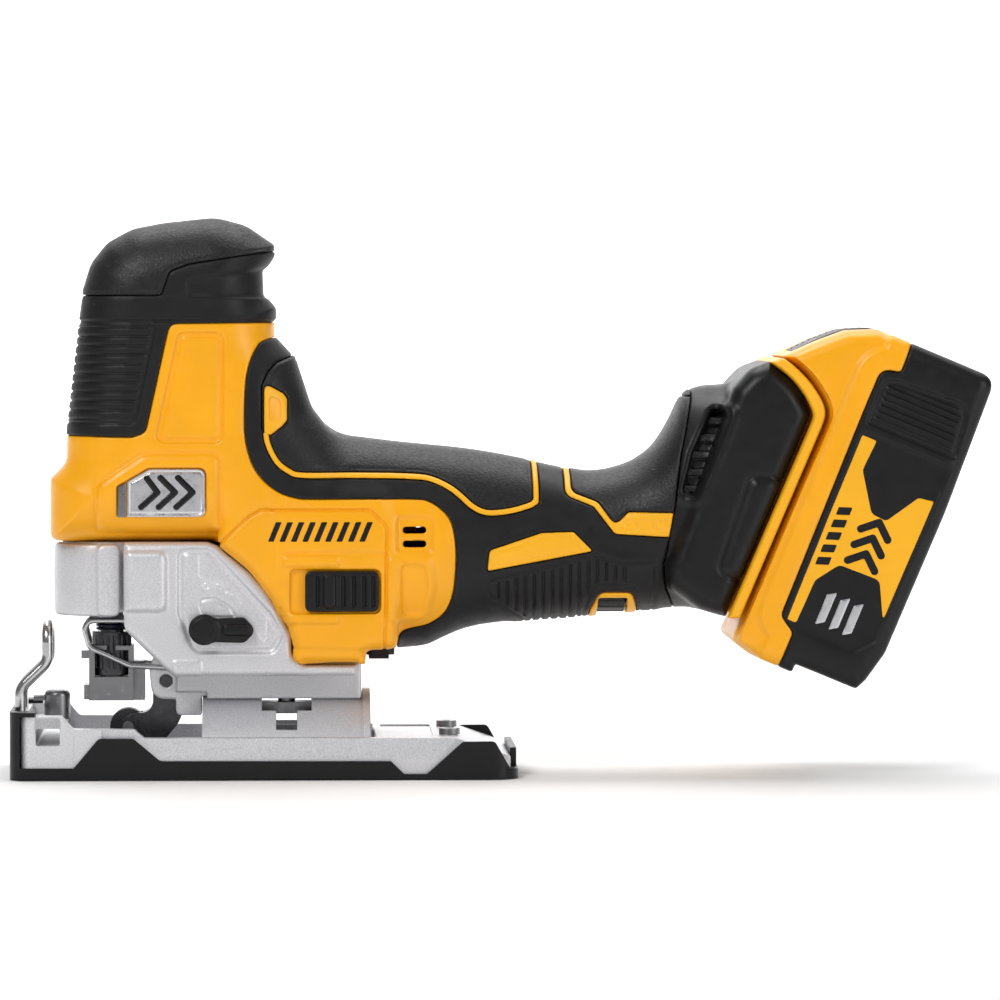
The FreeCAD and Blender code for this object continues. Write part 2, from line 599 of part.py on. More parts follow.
# ---------------------------------------------------------------- base
def build_base():
    open_x0, open_x1, open_half = BLADE_OPENING
    opening = block((open_x0, open_x1), (-open_half, open_half), (-5, 30))

    slab_plan = [
        (-27.8, -BASE_HALF, 4.0), (139.6, -BASE_HALF, 8.0), (139.6, BASE_HALF, 8.0),
        (-27.8, BASE_HALF, 4.0),
    ]
    slab = prism("xy", slab_plan, SHOE_FLOOR, 5.0)
    rail_side = [
        (-27.8, SHOE_FLOOR), (-27.8, 21.5, 2.0), (-13.5, 21.5, 2.5), (-9.8, 17.2, 2.0),
        (11.0, 17.0, 2.0), (14.6, 14.0, 1.0), (121.0, 13.9, 6.0), (139.6, 7.4, 1.0),
        (139.6, SHOE_FLOOR),
    ]
    rail = prism("xz", rail_side, 31.5, BASE_HALF)
    slope = prism("yz", [(36.4, 22.0), (36.4, 13.9), (38.2, 6.0), (45.0, 6.0), (45.0, 22.0)], 0, 145)
    rail = rail.common(prism("xy", slab_plan, 0, 30)).cut(slope)
    front_beam = block((-27.8, -13.5), (-32.0, 32.0), (4.0, 21.5))
    front_beam = front_beam.cut(block((-26.0, -13.0), (-29.0, 29.0), (17.8, 22.0)))
    rear_deck = prism("xz", [
        (93.0, 4.5), (93.0, 13.9, 1.0), (121.0, 13.9, 6.0), (139.6, 7.4, 1.0), (139.6, 4.5),
    ], -32.0, 32.0)
    rear_room = prism("xz", [
        (96.0, 0.0), (96.0, 10.9), (120.0, 10.9), (136.0, 5.2), (136.0, 0.0),
    ], -28.0, 28.0)
    rear_deck = rear_deck.cut(rear_room)
    fence = prism("xz", [
        (-22.4, 11.6, 0.8), (-14.2, 11.6, 0.8), (-14.2, 17.2, 0.8), (-22.4, 17.2, 0.8),
    ], -45, 45)
    recess = prism("xz", [
        (-22.6, 16.0), (-14.0, 16.0), (-14.0, 21.0, 1.0), (-22.6, 21.0, 1.0),
    ], 34.0, 45)
    plate = fuse_all([slab, rail, mirrored(rail), front_beam, rear_deck])
    hatch = block((95.8, 113.2), (-27.0, 27.0), (13.3, 15.0))
    screw_holes = [rod("z", (119.0, side * 18.0), 2.0, 0, 20) for side in (-1, 1)]
    wire_holes = [rod("z", (-26.9 - 1.9, side * 11.0), 2.0, 8.0, 40) for side in (-1, 1)]
    knob_hole = rod("z", (-16.4, 0.0), 2.0, 16.0, 30)
    plate = cut_all(plate, [opening, fence, recess, mirrored(recess), hatch, knob_hole])
    nodes["base_plate"] = cut_all(plate, screw_holes + wire_holes)

    shoe_plan = [
        (-31.4, -SHOE_HALF + 1.0, 6.0), (142.2, -SHOE_HALF, 9.0), (142.2, SHOE_HALF, 9.0),
        (-31.4, SHOE_HALF - 1.0, 6.0),
    ]
    floor = prism("xy", shoe_plan, 0.0, SHOE_FLOOR).cut(opening)
    wall_side = [
        (-31.4, 0.0), (-31.4, 4.0), (-9.5, 4.0), (-1.0, 14.1, 2.0), (10.8, 14.1, 2.0),
        (20.0, 6.4, 3.0), (98.5, 6.2, 1.0), (103.0, 1.8, 1.0), (110.8, 1.8, 1.5),
        (123.0, 12.8, 2.0), (134.0, 12.9, 2.0), (139.2, 3.6, 1.0), (142.2, 3.2), (142.2, 0.0),
    ]
    wall = prism("xz", wall_side, -SHOE_HALF, SHOE_HALF)
    rim = prism("xy", shoe_plan, 0.0, 30.0)
    inside = prism("xy", slab_plan, SHOE_FLOOR, 40.0)
    walls = wall.common(rim).cut(inside)
    front_wall = block((-31.4, -27.8), (-SHOE_HALF, SHOE_HALF), (0.0, 23.0))
    front_cap = block((-29.0, -22.6), (-SHOE_HALF, SHOE_HALF), (21.5, 23.0))
    front = front_wall.fuse(front_cap).common(rim)
    front = front.cut(block((-29.9, -20.0), (-29.0, 29.0), (4.0, 30.0)))
    rear_tab = block((139.6, 141.8), (-24.0, 24.0), (3.0, 9.6))
    shoe = fuse_all([floor, walls, front, rear_tab]).cut(opening)
    nodes["base_shoe"] = shoe.cut(nodes["base_plate"])

    arch = ring("x", (0, 0), SADDLE_R, SADDLE_R - SADDLE_WALL, 35.8, 89.3)
    front_ring = ring("x", (0, 0), SADDLE_R, 19.0, 34.0, 35.8)
    rear_ring = ring("x", (0, 0), 28.8, 19.0, 89.3, 91.8)
    upper = block((30, 100), (-40, 40), (12.0, 40))
    legs = block((34.0, 91.8), (22.5, 24.8), (5.0, 12.6))
    toes = block((34.0, 91.8), (22.5, 30.0), (5.0, 7.2))
    arches = arch.fuse(front_ring).fuse(rear_ring).common(upper)
    saddle = fuse_all([arches, legs, mirrored(legs), toes, mirrored(toes)])
    wide = block((54.4, 71.6), (-17.0, 17.0), (21.8, 40))
    narrow = block((BOLT_X - 3.6, BOLT_X + 3.6), (-22.8, 22.8), (14.4, 40))
    nodes["bevel_saddle"] = cut_all(saddle, [wide, narrow])

    lower_x, upper_x = -28.8, -19.4
    leg_y, arch_z = 11.0, 51.3
    wire = tube([
        (lower_x, -leg_y, 9.0), (lower_x, -leg_y, 29.5), (upper_x, -leg_y, 38.5),
        (upper_x, -leg_y, arch_z), (upper_x, leg_y, arch_z), (upper_x, leg_y, 38.5),
        (lower_x, leg_y, 29.5), (lower_x, leg_y, 9.0),
    ], 6.0, 1.9)
    nodes["front_guard_wire"] = wire
    nodes["base_shoe"] = nodes["base_shoe"].cut(wire)
    plate = nodes["base_plate"].cut(wire)
    front = block((-40.0, open_x0), (-60.0, 60.0), (-5.0, 40.0))
    nodes["fence_beam"] = plate.common(front)
    nodes["base_plate"] = plate.cut(front)

    screws = []
    for side in (-1, 1):
        head = rod("z", (119.0, side * 18.0), 3.6, 13.9, 16.0)
        socket = rod("z", (119.0, side * 18.0), 1.6, 14.6, 17.0)
        screws.append(head.cut(socket).fuse(rod("z", (119.0, side * 18.0), 2.0, 9.0, 14.0)))
    nodes["base_screws"] = Part.makeCompound(screws)

    stud = rod("z", (-16.4, 0.0), 2.0 - RUNNING, 17.5, 19.0)
    cap = rod("z", (-16.4, 0.0), 4.5, 18.2, 28.4)
    cap = cap.makeFillet(2.0, [cap.Edges[0]])
    handle = rod("x", (0.0, 25.6), 1.0, -24.6, -19.0)
    knob = fuse_all([stud, cap, handle])
    nodes["fence_clamp_screw"] = knob

    hub = rod("z", (BOLT_X, 0), 7.0, 38.9, 43.2)
    arm = prism("xy", [
        (BOLT_X, -4.2), (88.0, -4.2, 4.0), (92.0, -7.5, 2.0), (100.4, -7.5, 2.5),
        (100.4, 7.5, 2.5), (92.0, 7.5, 2.0), (88.0, 4.2, 4.0), (BOLT_X, 4.2),
    ], 40.6, 43.2)
    tab = block((91.5, 98.4), (-7.0, 7.0), (39.2, 41.0))
    lever = fuse_all([hub, arm, tab])
    nodes["bevel_lever"] = lever.cut(rod("z", (BOLT_X, 0), BOLT_R + RUNNING, 30, 50))
    bolt = rod("z", (BOLT_X, 0), BOLT_R, 20.6, 43.6).fuse(rod("z", (BOLT_X, 0), 5.0, 43.3, 44.5))
    nut = block((50.5, 75.5), (-5.0, 5.0), (20.2, 24.2))
    nodes["bevel_clamp_bolt"] = fuse_all([bolt, nut])


# ---------------------------------------------------------------- housings and overmoulds
LEFT = block((-60.0, 320.0), (-80.0, 0.0), (-10.0, 260.0))
CLAMSHELL_SCREWS = [            # x, z, boss radius and the head's distance from the mid-plane
    (50.0, 150.0, 4.0, 25.0), (22.0, 152.0, 4.0, 25.0), (62.0, 120.0, 4.0, 22.5),
    (113.0, 50.4, 3.4, 12.0), (128.0, 101.0, 3.4, 15.0), (187.0, 92.0, 3.4, 21.0),
    (140.0, 60.4, 3.4, 15.0),
]
FOOT_ZONE = [
    (204.8, 50.0), (193.2, 64.8, 4.0), (192.4, 72.0, 4.0), (199.0, 96.0, 10.0),
    (200.0, 160.0), (260.0, 160.0), (260.0, 50.0),
]
DIAL_WINDOW = [(169.3, 50.0), (169.3, 60.8, 1.5), (181.9, 60.8, 1.5), (181.9, 50.0)]
DIAL_ARCH = [
    (167.4, 54.0), (167.6, 57.0), (171.0, 62.6, 2.0), (181.8, 62.6, 2.0), (184.0, 57.0), (184.2, 54.0),
]


def zone(outline):
    return prism("xz", outline, -60.0, 60.0)


def biggest(shape):
    return max(shape.Solids, key=lambda solid: solid.Volume)


def shell_envelopes():
    """Rooms that the shells leave for what is inside them."""
    return [
        rod("x", (0, MOTOR_Z), STATOR_R + 0.1, 60.0, 119.0),
        rod("x", (0, MOTOR_Z), 11.0, 38.0, 128.0),
        rod("x", (0, CRANK_Z), 24.0, 12.5, 43.0),
        block((-9.0, 44.0), (-24.0, 24.0), (79.0, 126.0)),
        block((30.0, 43.0), (-24.0, 24.0), (79.0, 143.0)),
        block((43.5, 52.0), (-22.2, 22.2), (60.0, 120.0)),
        rod("z", (PLUNGER_X, 0), 6.0, 60, 170),
        block((50.0, 120.0), (-25.0, 25.0), (30.0, 44.6)),
        block((68.5, 85.5), (-28.4, 28.4), (50.0, 66.6)),
    ]


def build_body():
    """Both clamshell halves and the rubber moulded over them, worked out on the left half."""
    outer = body_blank(0.0).common(LEFT)
    under_skin = body_blank(SKIN).common(LEFT)
    wall_top = body_blank(SKIN + RUNNING).common(LEFT)
    carrier = body_blank(WALL - 0.6)
    inner = body_blank(WALL)

    skin = outer.cut(under_skin)
    sleeve = skin.common(zone(SLEEVE_ZONE))
    front_pad = sleeve.common(zone(FRONT_PAD_ZONE))
    rear_pad = sleeve.common(zone(REAR_PAD_ZONE))
    badge = sleeve.common(zone(BADGE_ZONE))
    sleeve = cut_all(sleeve, [zone(FRONT_PAD_ZONE), zone(REAR_PAD_ZONE), zone(BADGE_ZONE)])
    yellow = outer.cut(carrier)
    yellow = cut_all(yellow, [zone(z) for z in (FRONT_GRIP_ZONE, KNOB_PAD_ZONE, SLEEVE_ZONE)])

    shell = wall_top.cut(inner).fuse(yellow)
    foot_zone = zone(FOOT_ZONE)
    foot_half = shell.common(foot_zone)
    shell = shell.cut(foot_zone)

    slabs = [block((x, x + 2.4), (-60, 0), (46.8, 118.0)) for x in (70.0, 98.0)]
    slabs.append(block((122.0, 126.0), (-60, 0), (46.8, 118.0)))
    slabs.append(block((-9.0, 13.0), (-60, 0), (128.0, 136.0)))
    slabs.append(block((58.0, 104.0), (-60, 0), (44.6, 46.8)))
    slabs += [rod("y", (x, z), radius, -40.0, 0.0) for x, z, radius, _ in CLAMSHELL_SCREWS]
    shell = shell.fuse([carrier.common(slab) for slab in slabs])

    bush_hole = rod("z", (PLUNGER_X, 0), 8.0, 120, 140)
    dial_room = zone(DIAL_WINDOW).fuse(rod("x", (0, DIAL[1]), DIAL_R + 0.8, 169.3, 181.9))
    slider_window = block((63.4, 95.2), (-40.0, -BODY_HALF + 1.7), (56.0, 71.2))
    slider_slot = block((68.0, 90.0), (-40.0, -20.0), (58.8, 66.6))
    logo = prism("xz", LOGO_WINDOW, -40.0, -BODY_HALF + 1.2)
    vents = [block((102.9, 110.8), (-40.0, -20.0), (z - 1.2, z + 1.2)) for z in (79.8, 84.5)]
    tools = shell_envelopes() + [bush_hole, dial_room, slider_window, slider_slot, logo] + vents
    shell = biggest(cut_all(shell, tools + [nodes["gear_case"]]))

    nodes["badge_plates"] = both_sides(
        prism("xz", LOGO_WINDOW, -BODY_HALF + 0.4, -BODY_HALF + 1.2, -0.15)
        .cut(block((0, 8.4), (-40, 0), (80, 120))))
    nodes["front_grip"] = both_sides(biggest(skin.common(zone(FRONT_GRIP_ZONE))))
    nodes["knob_pad"] = both_sides(biggest(skin.common(zone(KNOB_PAD_ZONE))))
    nodes["side_badges"] = both_sides(biggest(badge))

    arch = zone(DIAL_ARCH).common(LEFT)
    band = outer.cut(under_skin).common(arch).cut(dial_room)
    nodes["dial_bezel"] = both_sides(biggest(band))
    sleeve = biggest(cut_all(sleeve, [dial_room, arch] + vents))
    front_pad = biggest(front_pad)
    rear_pad = biggest(rear_pad)

    left_holes, right_holes, head_holes, screws = [], [], [], []
    for x, z, _, head in CLAMSHELL_SCREWS:
        left_holes.append(rod("y", (x, z), 1.6, -10.0, 0.0))
        right_holes.append(rod("y", (x, z), 1.6, 0.0, head))
        head_holes.append(rod("y", (x, z), 3.1, head, 60.0))
        shank = rod("y", (x, z), 1.6, -10.0, head)
        screws.append(shank.fuse(rod("y", (x, z), 3.0, head, head + 2.4)))
    nodes["main_housing_left"] = cut_all(shell, left_holes)
    nodes["main_housing_right"] = cut_all(mirrored(shell), right_holes + head_holes)
    sleeve_right = cut_all(mirrored(sleeve), head_holes)
    pad_right = cut_all(mirrored(front_pad), head_holes)
    rear_pad_right = cut_all(mirrored(rear_pad), head_holes)
    nodes["handle_sleeve"] = Part.makeCompound([sleeve, biggest(sleeve_right)])
    nodes["top_pad_front"] = Part.makeCompound([front_pad, biggest(pad_right)])
    nodes["top_pad_rear"] = Part.makeCompound([rear_pad, biggest(rear_pad_right)])
    nodes["housing_screws"] = Part.makeCompound(screws)
    return foot_half


def build_dial():
    wheel = rod("x", (0, DIAL[1]), DIAL_R, DIAL[0] - 4.6, DIAL[0] + 4.6)
    grips = []
    for index in range(20):
        angle = math.radians(18.0 * index)
        centre = ((DIAL_R + 0.4) * math.cos(angle), DIAL[1] + (DIAL_R + 0.4) * math.sin(angle))
        grips.append(rod("x", centre, 0.8, DIAL[0] - 5, DIAL[0] + 5))
    axle = rod("x", (0, DIAL[1]), 2.5, DIAL[0] - 5.6, DIAL[0] + 5.6)
    nodes["speed_dial"] = cut_all(wheel, grips).fuse(axle)


def build_foot(foot_half):
    """The battery foot, its yellow rim and the rails that the pack slides on."""
    recess = tilted(block((-8.8, 6.0), (-22.7, 22.7), (-1.0, 120.0)))
    rail = tilted(block((-5.4, -3.2), (-23.4, -19.6), (2.0, 74.0)))
    seat = tilted(block((-12.4, -4.0), (-27.0, 0.0), (-1.0, 76.0)))
    holes = tilted(block((-16.0, -8.0), (-13.5, 13.5), (12.0, 40.0)))
    foot = foot_half.fuse(seat.common(foot_blank(WALL - 0.6)))
    foot = biggest(foot.cut(recess).cut(holes).fuse(rail))
    nodes["battery_foot"] = Part.makeCompound([foot, mirrored(foot)])
    rim = prism("xz", RING_SIDE, -35.0, 0.0)
    inside = prism("xz", [
        (200.0, 60.0), (218.6, 60.5), (243.0, 119.0), (243.0, 128.0), (232.0, 150.0), (200.0, 150.0),
    ], -29.5, 10.0)
    rim = biggest(cut_all(rim, [inside, recess, foot]))
    nodes["foot_trim_ring"] = Part.makeCompound([rim, mirrored(rim)])
    holder = tilted(block((-16.0, -8.9), (-13.4, 13.4), (12.1, 39.9)))
    blades = [tilted(block((-9.0, -4.2), (y - 0.4, y + 0.4), (16.0, 34.0))) for y in (-10, -5, 0, 5, 10)]
    nodes["terminal_block"] = fuse_all([holder] + blades)


def build_switch():
    """Slide switch: one slider on each side, joined under the motor."""
    plate_side = [(69.3, 56.7, 2.4), (94.6, 56.7, 2.4), (94.6, 70.6, 2.4), (69.3, 70.6, 2.4)]
    slider = prism("xz", plate_side, BODY_HALF - 1.4, BODY_HALF + 1.2)
    rib = prism("xz", [(75.7, 58.2, 1.5), (79.6, 58.2, 1.5), (79.6, 69.4, 1.5), (75.7, 69.4, 1.5)],
                BODY_HALF, BODY_HALF + 2.6)
    slider = slider.fuse(rib)
    for x in (73.9, 82.6, 86.2, 89.8):
        slider = slider.cut(block((x - 0.6, x + 0.6), (BODY_HALF + 0.5, 40), (59.0, 68.4)))
    stem = block((75.0, 84.0), (26.0, BODY_HALF - 1.4), (59.4, 66.0))
    slider = slider.fuse(stem)
    nodes["switch_sliders"] = both_sides(slider)
    legs = block((76.0, 83.0), (24.2, 26.0), (50.6, 66.0))
    crossbar = block((76.0, 83.0), (-26.0, 26.0), (50.6, 52.6))
    nodes["switch_link"] = fuse_all([legs, mirrored(legs), crossbar])
    nodes["switch_module"] = block((72.6, 93.0), (-9.0, 9.0), (46.9, 50.2))


def build_control():
    module = prism("yz", [(-17, 66, 3), (17, 66, 3), (17, 90, 3), (-17, 90, 3)], 132.0, 166.0)
    fins = [block((133.0 + 4 * i, 135.0 + 4 * i), (-14, 14), (89.5, 94.0)) for i in range(8)]
    nodes["control_module"] = fuse_all([module] + fins)


# ---------------------------------------------------------------- battery pack
PACK_SIDE = [
    (-20.4, 88.3, 1.0), (-9.6, 84.6, 5.0), (0.3, 77.5, 4.0), (0.3, -8.0, 3.0), (9.0, -10.6, 4.0),
    (24.0, -10.6, 2.0), (24.0, -7.6), (42.8, -7.4, 3.0), (50.6, 2.0, 7.0), (51.8, 60.0, 80.0),
    (49.8, 110.0, 7.0), (5.5, 110.0, 4.0), (-4.0, 105.5, 8.0), (-11.0, 99.0, 8.0),
    (-17.6, 91.6, 4.0),
]
PACK_SPLIT = [
    (-40.0, -30.0), (18.3, -30.0), (18.4, 2.5, 3.0), (12.3, 7.6, 4.0), (11.4, 82.4, 20.0),
    (15.0, 98.0, 8.0), (17.2, 130.0), (-40.0, 130.0),
]
BUTTON_TOP = [
    (-17.0, 92.2), (-11.0, 99.0, 8.0), (-4.0, 105.5, 8.0), (3.5, 109.2, 3.0), (6.4, 109.9),
    (6.4, 105.5), (-2.0, 102.2, 6.0), (-9.0, 96.4, 6.0), (-14.5, 90.6),
]


def build_pack():
    width = [(-30.0, PACK_HALF), (45.0, PACK_HALF), (51.5, PACK_HALF, 9.0)]
    outline = [(-30.0, -PACK_HALF), (51.9, -PACK_HALF, 7.0), (51.9, PACK_HALF, 7.0), width[0]]
    across = prism("xy", outline, -30, 130)
    solid = prism("xz", PACK_SIDE, -60, 60).common(across)
    hollow = prism("xz", PACK_SIDE, -60, 60, -PACK_WALL)
    hollow = hollow.common(prism("xy", outline, -40, 140, -PACK_WALL))
    shell = solid.cut(hollow)
    split = prism("xz", PACK_SPLIT, -60, 60)
    rail = block((-8.2, 1.5), (-22.2, 22.2), (6.0, 72.0))
    groove = block((-5.8, -2.8), (19.2, 25.0), (0.0, 90.0))
    slots = [block((-9.0, -3.6), (y - 0.8, y + 0.8), (5.0, 40.0)) for y in (-10, -5, 0, 5, 10)]
    rail = cut_all(rail, [groove, mirrored(groove)] + slots)
    button_well = prism("xz", BUTTON_TOP, -15.0, 15.0, 0.35)
    upper = shell.common(split).fuse(rail).cut(button_well)
    upper = upper.fuse(prism("xz", BUTTON_TOP, -17.0, 17.0, 3.4).common(solid)
                       .cut(prism("xz", BUTTON_TOP, -15.0, 15.0, 0.9)).cut(button_well))
    for step in range(5):
        room = prism("xz", BUTTON_TOP, -14.9, 14.9, 0.4)
        room.translate(Vector(0.44 * step, 0, -0.56 * step))
        upper = upper.cut(room)
    lower = shell.cut(split)
    nodes["pack_upper_shell"] = tilted(biggest(upper))
    nodes["pack_lower_shell"] = tilted(biggest(lower))
    button = prism("xz", BUTTON_TOP, -14.5, 14.5)
    nodes["pack_release_button"] = tilted(button)
    cells = []
    for row in range(2):
        for column in range(5):
            centre = (19.3 + 19.2 * row, 13.0 + 18.7 * column)
            cells.append(rod("y", centre, CELL_R, -CELL_LENGTH / 2, CELL_LENGTH / 2))
    nodes["pack_cells"] = tilted(Part.makeCompound(cells))


# ---------------------------------------------------------------- assembly
def build_all():
    build_drive()
    build_clamp()
    build_gear_case()
    build_release_lever()
    build_wire_guard()
    build_orbital()
    build_base()
    foot_half = build_body()
    build_foot(foot_half)
    build_dial()
    build_switch()
    build_control()
    build_pack()
    os.makedirs("parts", exist_ok=True)
    for name, shape in nodes.items():
        shape.exportStep("parts/" + name + ".step")


build_all()
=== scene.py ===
"""Looks for the cordless barrel-grip jigsaw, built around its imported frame.

Shapes are drawn in millimetres in the frame's own axes: +X to the battery, +Y to the tool's
right, +Z up. A shape is a field of signed distances on a grid, negative inside, and its zero
surface becomes the mesh. Side outlines hold (x, z) or (x, z, corner radius).
"""
import json
import math
import bpy
import numpy as np
import openvdb as vdb
from mathutils import Matrix, Vector


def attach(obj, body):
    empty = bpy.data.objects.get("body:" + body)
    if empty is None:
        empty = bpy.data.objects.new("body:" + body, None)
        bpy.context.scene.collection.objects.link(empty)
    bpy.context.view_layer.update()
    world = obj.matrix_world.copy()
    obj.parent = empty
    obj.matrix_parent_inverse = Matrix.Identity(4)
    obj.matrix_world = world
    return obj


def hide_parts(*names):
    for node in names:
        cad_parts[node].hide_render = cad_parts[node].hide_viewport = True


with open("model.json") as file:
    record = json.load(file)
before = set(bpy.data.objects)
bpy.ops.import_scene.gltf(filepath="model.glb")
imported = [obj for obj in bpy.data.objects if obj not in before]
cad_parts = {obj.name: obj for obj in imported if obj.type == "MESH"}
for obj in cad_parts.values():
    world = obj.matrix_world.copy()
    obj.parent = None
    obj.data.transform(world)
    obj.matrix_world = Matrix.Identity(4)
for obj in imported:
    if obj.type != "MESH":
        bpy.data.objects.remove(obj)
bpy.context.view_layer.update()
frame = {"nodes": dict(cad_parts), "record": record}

MM = 0.001
STEP = 0.45                       # grid spacing of the large shells
SEAM = 0.12                       # half the gap at a seam between two plastics
SKIN = 1.5                        # depth of the rubber in its pocket
SHELL = 2.8                       # wall of the clamshell
HEAD_HALF = 30.0                  # half widths of the head, motor cover and gear case
BODY_HALF = 29.5
CASE_HALF = 26.0
KNOB_FOOT = 164.0                 # height where the knob starts
PLUNGER_X = 2.5
SELECTOR = (34.8, 50.6)           # x and z of the orbital selector's axis
SADDLE_R = 27.8                   # the bevel saddle about the tilt axis
TILT_CLEAR_R = 40.3
DIAL_X, DIAL_Z = 175.4, 66.5
PACK_FOOT = (218.1, 54.4)         # x and z of the pack's corner on its seam
PACK_TILT = math.radians(22.7)
PACK_HALF = 37.5
BUTTON_PRESS = (1.74, -2.2)       # the release button's travel in the pack's own axes


# ---------------------------------------------------------------- outlines and fields
def outline(corners, closed=True):
    """Points of a polygon or path whose corners are rounded by short arcs."""
    count = len(corners)
    points = []
    for index, corner in enumerate(corners):
        here = np.array(corner[:2], float)
        radius = corner[2] if len(corner) > 2 else 0.0
        if radius <= 0 or (not closed and index in (0, count - 1)):
            points.append(here)
            continue
        before = np.array(corners[index - 1][:2], float) - here
        after = np.array(corners[(index + 1) % count][:2], float) - here
        room = 0.49 * min(np.linalg.norm(before), np.linalg.norm(after))
        before /= np.linalg.norm(before)
        after /= np.linalg.norm(after)
        half = math.acos(np.clip(before @ after, -1, 1)) / 2
        reach = min(radius / math.tan(half), room)
        for share in np.linspace(0, 1, 8):
            start, end = here + before * reach, here + after * reach
            points.append(start * (1 - share) ** 2 + 2 * here * share * (1 - share) + end * share ** 2)
    return np.array(points)


def curve(points, parts=5):
    """Points along a smooth open curve through the given ones."""
    knots = np.array([points[0]] + list(points) + [points[-1]], float)
    smooth = []
    for before, start, end, after in zip(knots, knots[1:], knots[2:], knots[3:]):
        for t in np.arange(parts) / parts:
            smooth.append(0.5 * (2 * start + (end - before) * t
                                 + (2 * before - 5 * start + 4 * end - after) * t * t
                                 + (3 * start - before - 3 * end + after) * t ** 3))
    return [tuple(point) for point in smooth] + [tuple(points[-1])]


def four_sided(x, z, radius, lean_x=0.0, lean_z=0.0):
    """A side outline over spans of x and z, leaning along either axis."""
    return [(x[0], z[0], radius), (x[0] + lean_x, z[1], radius),
            (x[1] + lean_x, z[1] + lean_z, radius), (x[1], z[0] + lean_z, radius)]


class Grid:
    """Sample points over a box. A mirrored grid holds y >= 0 and stands for both sides."""

    def __init__(self, x, y, z, step=STEP, mirror=True):
        self.step, self.mirror = step, mirror
        self.low = np.array([x[0], y[0], z[0]], float)
        rows = [np.arange(a, b + step, step, dtype=np.float32) for a, b in (x, y, z)]
        self.x = rows[0][:, None, None]
        self.y = rows[1][None, :, None]
        self.z = rows[2][None, None, :]

    def path(self, corners, closed=False):
        """Distance in the side view to a path."""
        points = outline(corners, closed)
        ends = np.roll(points, -1, axis=0) if closed else points[1:]
        nearest = np.full((self.x.shape[0], 1, self.z.shape[2]), 1e9, np.float32)
        for (ax, az), (bx, bz) in zip(points, ends):
            dx, dz = bx - ax, bz - az
            size = dx * dx + dz * dz + 1e-12
            along = np.clip(((self.x - ax) * dx + (self.z - az) * dz) / size, 0, 1)
            away = (self.x - ax - along * dx) ** 2 + (self.z - az - along * dz) ** 2
            nearest = np.minimum(nearest, away)
        return np.sqrt(nearest)

    def side(self, corners):
        """Signed distance in the side view to a closed outline."""
        points = outline(corners)
        inside = np.zeros((self.x.shape[0], 1, self.z.shape[2]), bool)
        for (ax, az), (bx, bz) in zip(points, np.roll(points, -1, axis=0)):
            if abs(bz - az) < 1e-9:
                continue
            crosses = (self.z > min(az, bz)) & (self.z <= max(az, bz))
            inside ^= crosses & (self.x < ax + (self.z - az) * (bx - ax) / (bz - az))
        distance = self.path(corners, True)
        return np.where(inside, -distance, distance)

    def disc(self, x, z, radius):
        """Signed distance in the side view to a circle."""
        return np.hypot(self.x - x, self.z - z) - radius

    def box(self, x, y, z):
        """Distance to a box, right near its faces."""
        spans = ((self.x, x), (self.y, y), (self.z, z))
        return both(*[np.maximum(low - axis, axis - high) for axis, (low, high) in spans])


def both(*fields):
    """Intersection of shapes."""
    result = fields[0]
    for field in fields[1:]:
        result = np.maximum(result, field)
    return result


def either(*fields):
    """Union of shapes."""
    result = fields[0]
    for field in fields[1:]:
        result = np.minimum(result, field)
    return result


def round_both(a, b, radius):
    """Intersection with a rounded edge."""
    corner = np.hypot(np.maximum(a + radius, 0), np.maximum(b + radius, 0))
    return np.minimum(np.maximum(a, b), -radius) + corner


def soft_either(a, b, reach):
    """Union with a fillet."""
    share = np.clip(0.5 + 0.5 * (b - a) / reach, 0, 1)
    return b + (a - b) * share - reach * share * (1 - share)


def slab(side, across, half, side_radius, across_radius):
    """A side shape given a thickness, its edges rounded as quarter ellipses."""
    a = np.maximum(side + side_radius, 0) / side_radius
    b = np.maximum(np.abs(across) - half + across_radius, 0) / across_radius
    reach = np.hypot(a, b) + 1e-6
    slope = np.hypot(a / side_radius, b / across_radius) + 1e-6
    return (reach - 1) * reach / slope


def groove(distance, width, depth):
    """How far a rounded groove of that width lies below the surface."""
    return depth * np.clip(1 - (2 * distance / width) ** 2, 0, 1)


def step_down(side, depth, slope=0.6):
    """A recess inside a side shape, with a short sloping wall."""
    return depth * np.clip(0.5 - side / slope, 0, 1)


def between(position, pitch):
    """Distance to the nearest of evenly spaced lines."""
    steps = position / pitch
    return np.abs(steps - np.round(steps)) * pitch


def smooth_through(at, stations):
    """A smooth curve through stations of (position, value)."""
    xs, ys = np.array(stations, float).T
    slopes = np.gradient(ys, xs)
    place = np.clip(np.searchsorted(xs, at) - 1, 0, len(xs) - 2)
    width = xs[place + 1] - xs[place]
    t = np.clip((at - xs[place]) / width, 0, 1)
    low = (1 + 2 * t) * (1 - t) ** 2 * ys[place] + t * (1 - t) ** 2 * width * slopes[place]
    high = t * t * (3 - 2 * t) * ys[place + 1] + t * t * (t - 1) * width * slopes[place + 1]
    return (low + high).astype(np.float32)


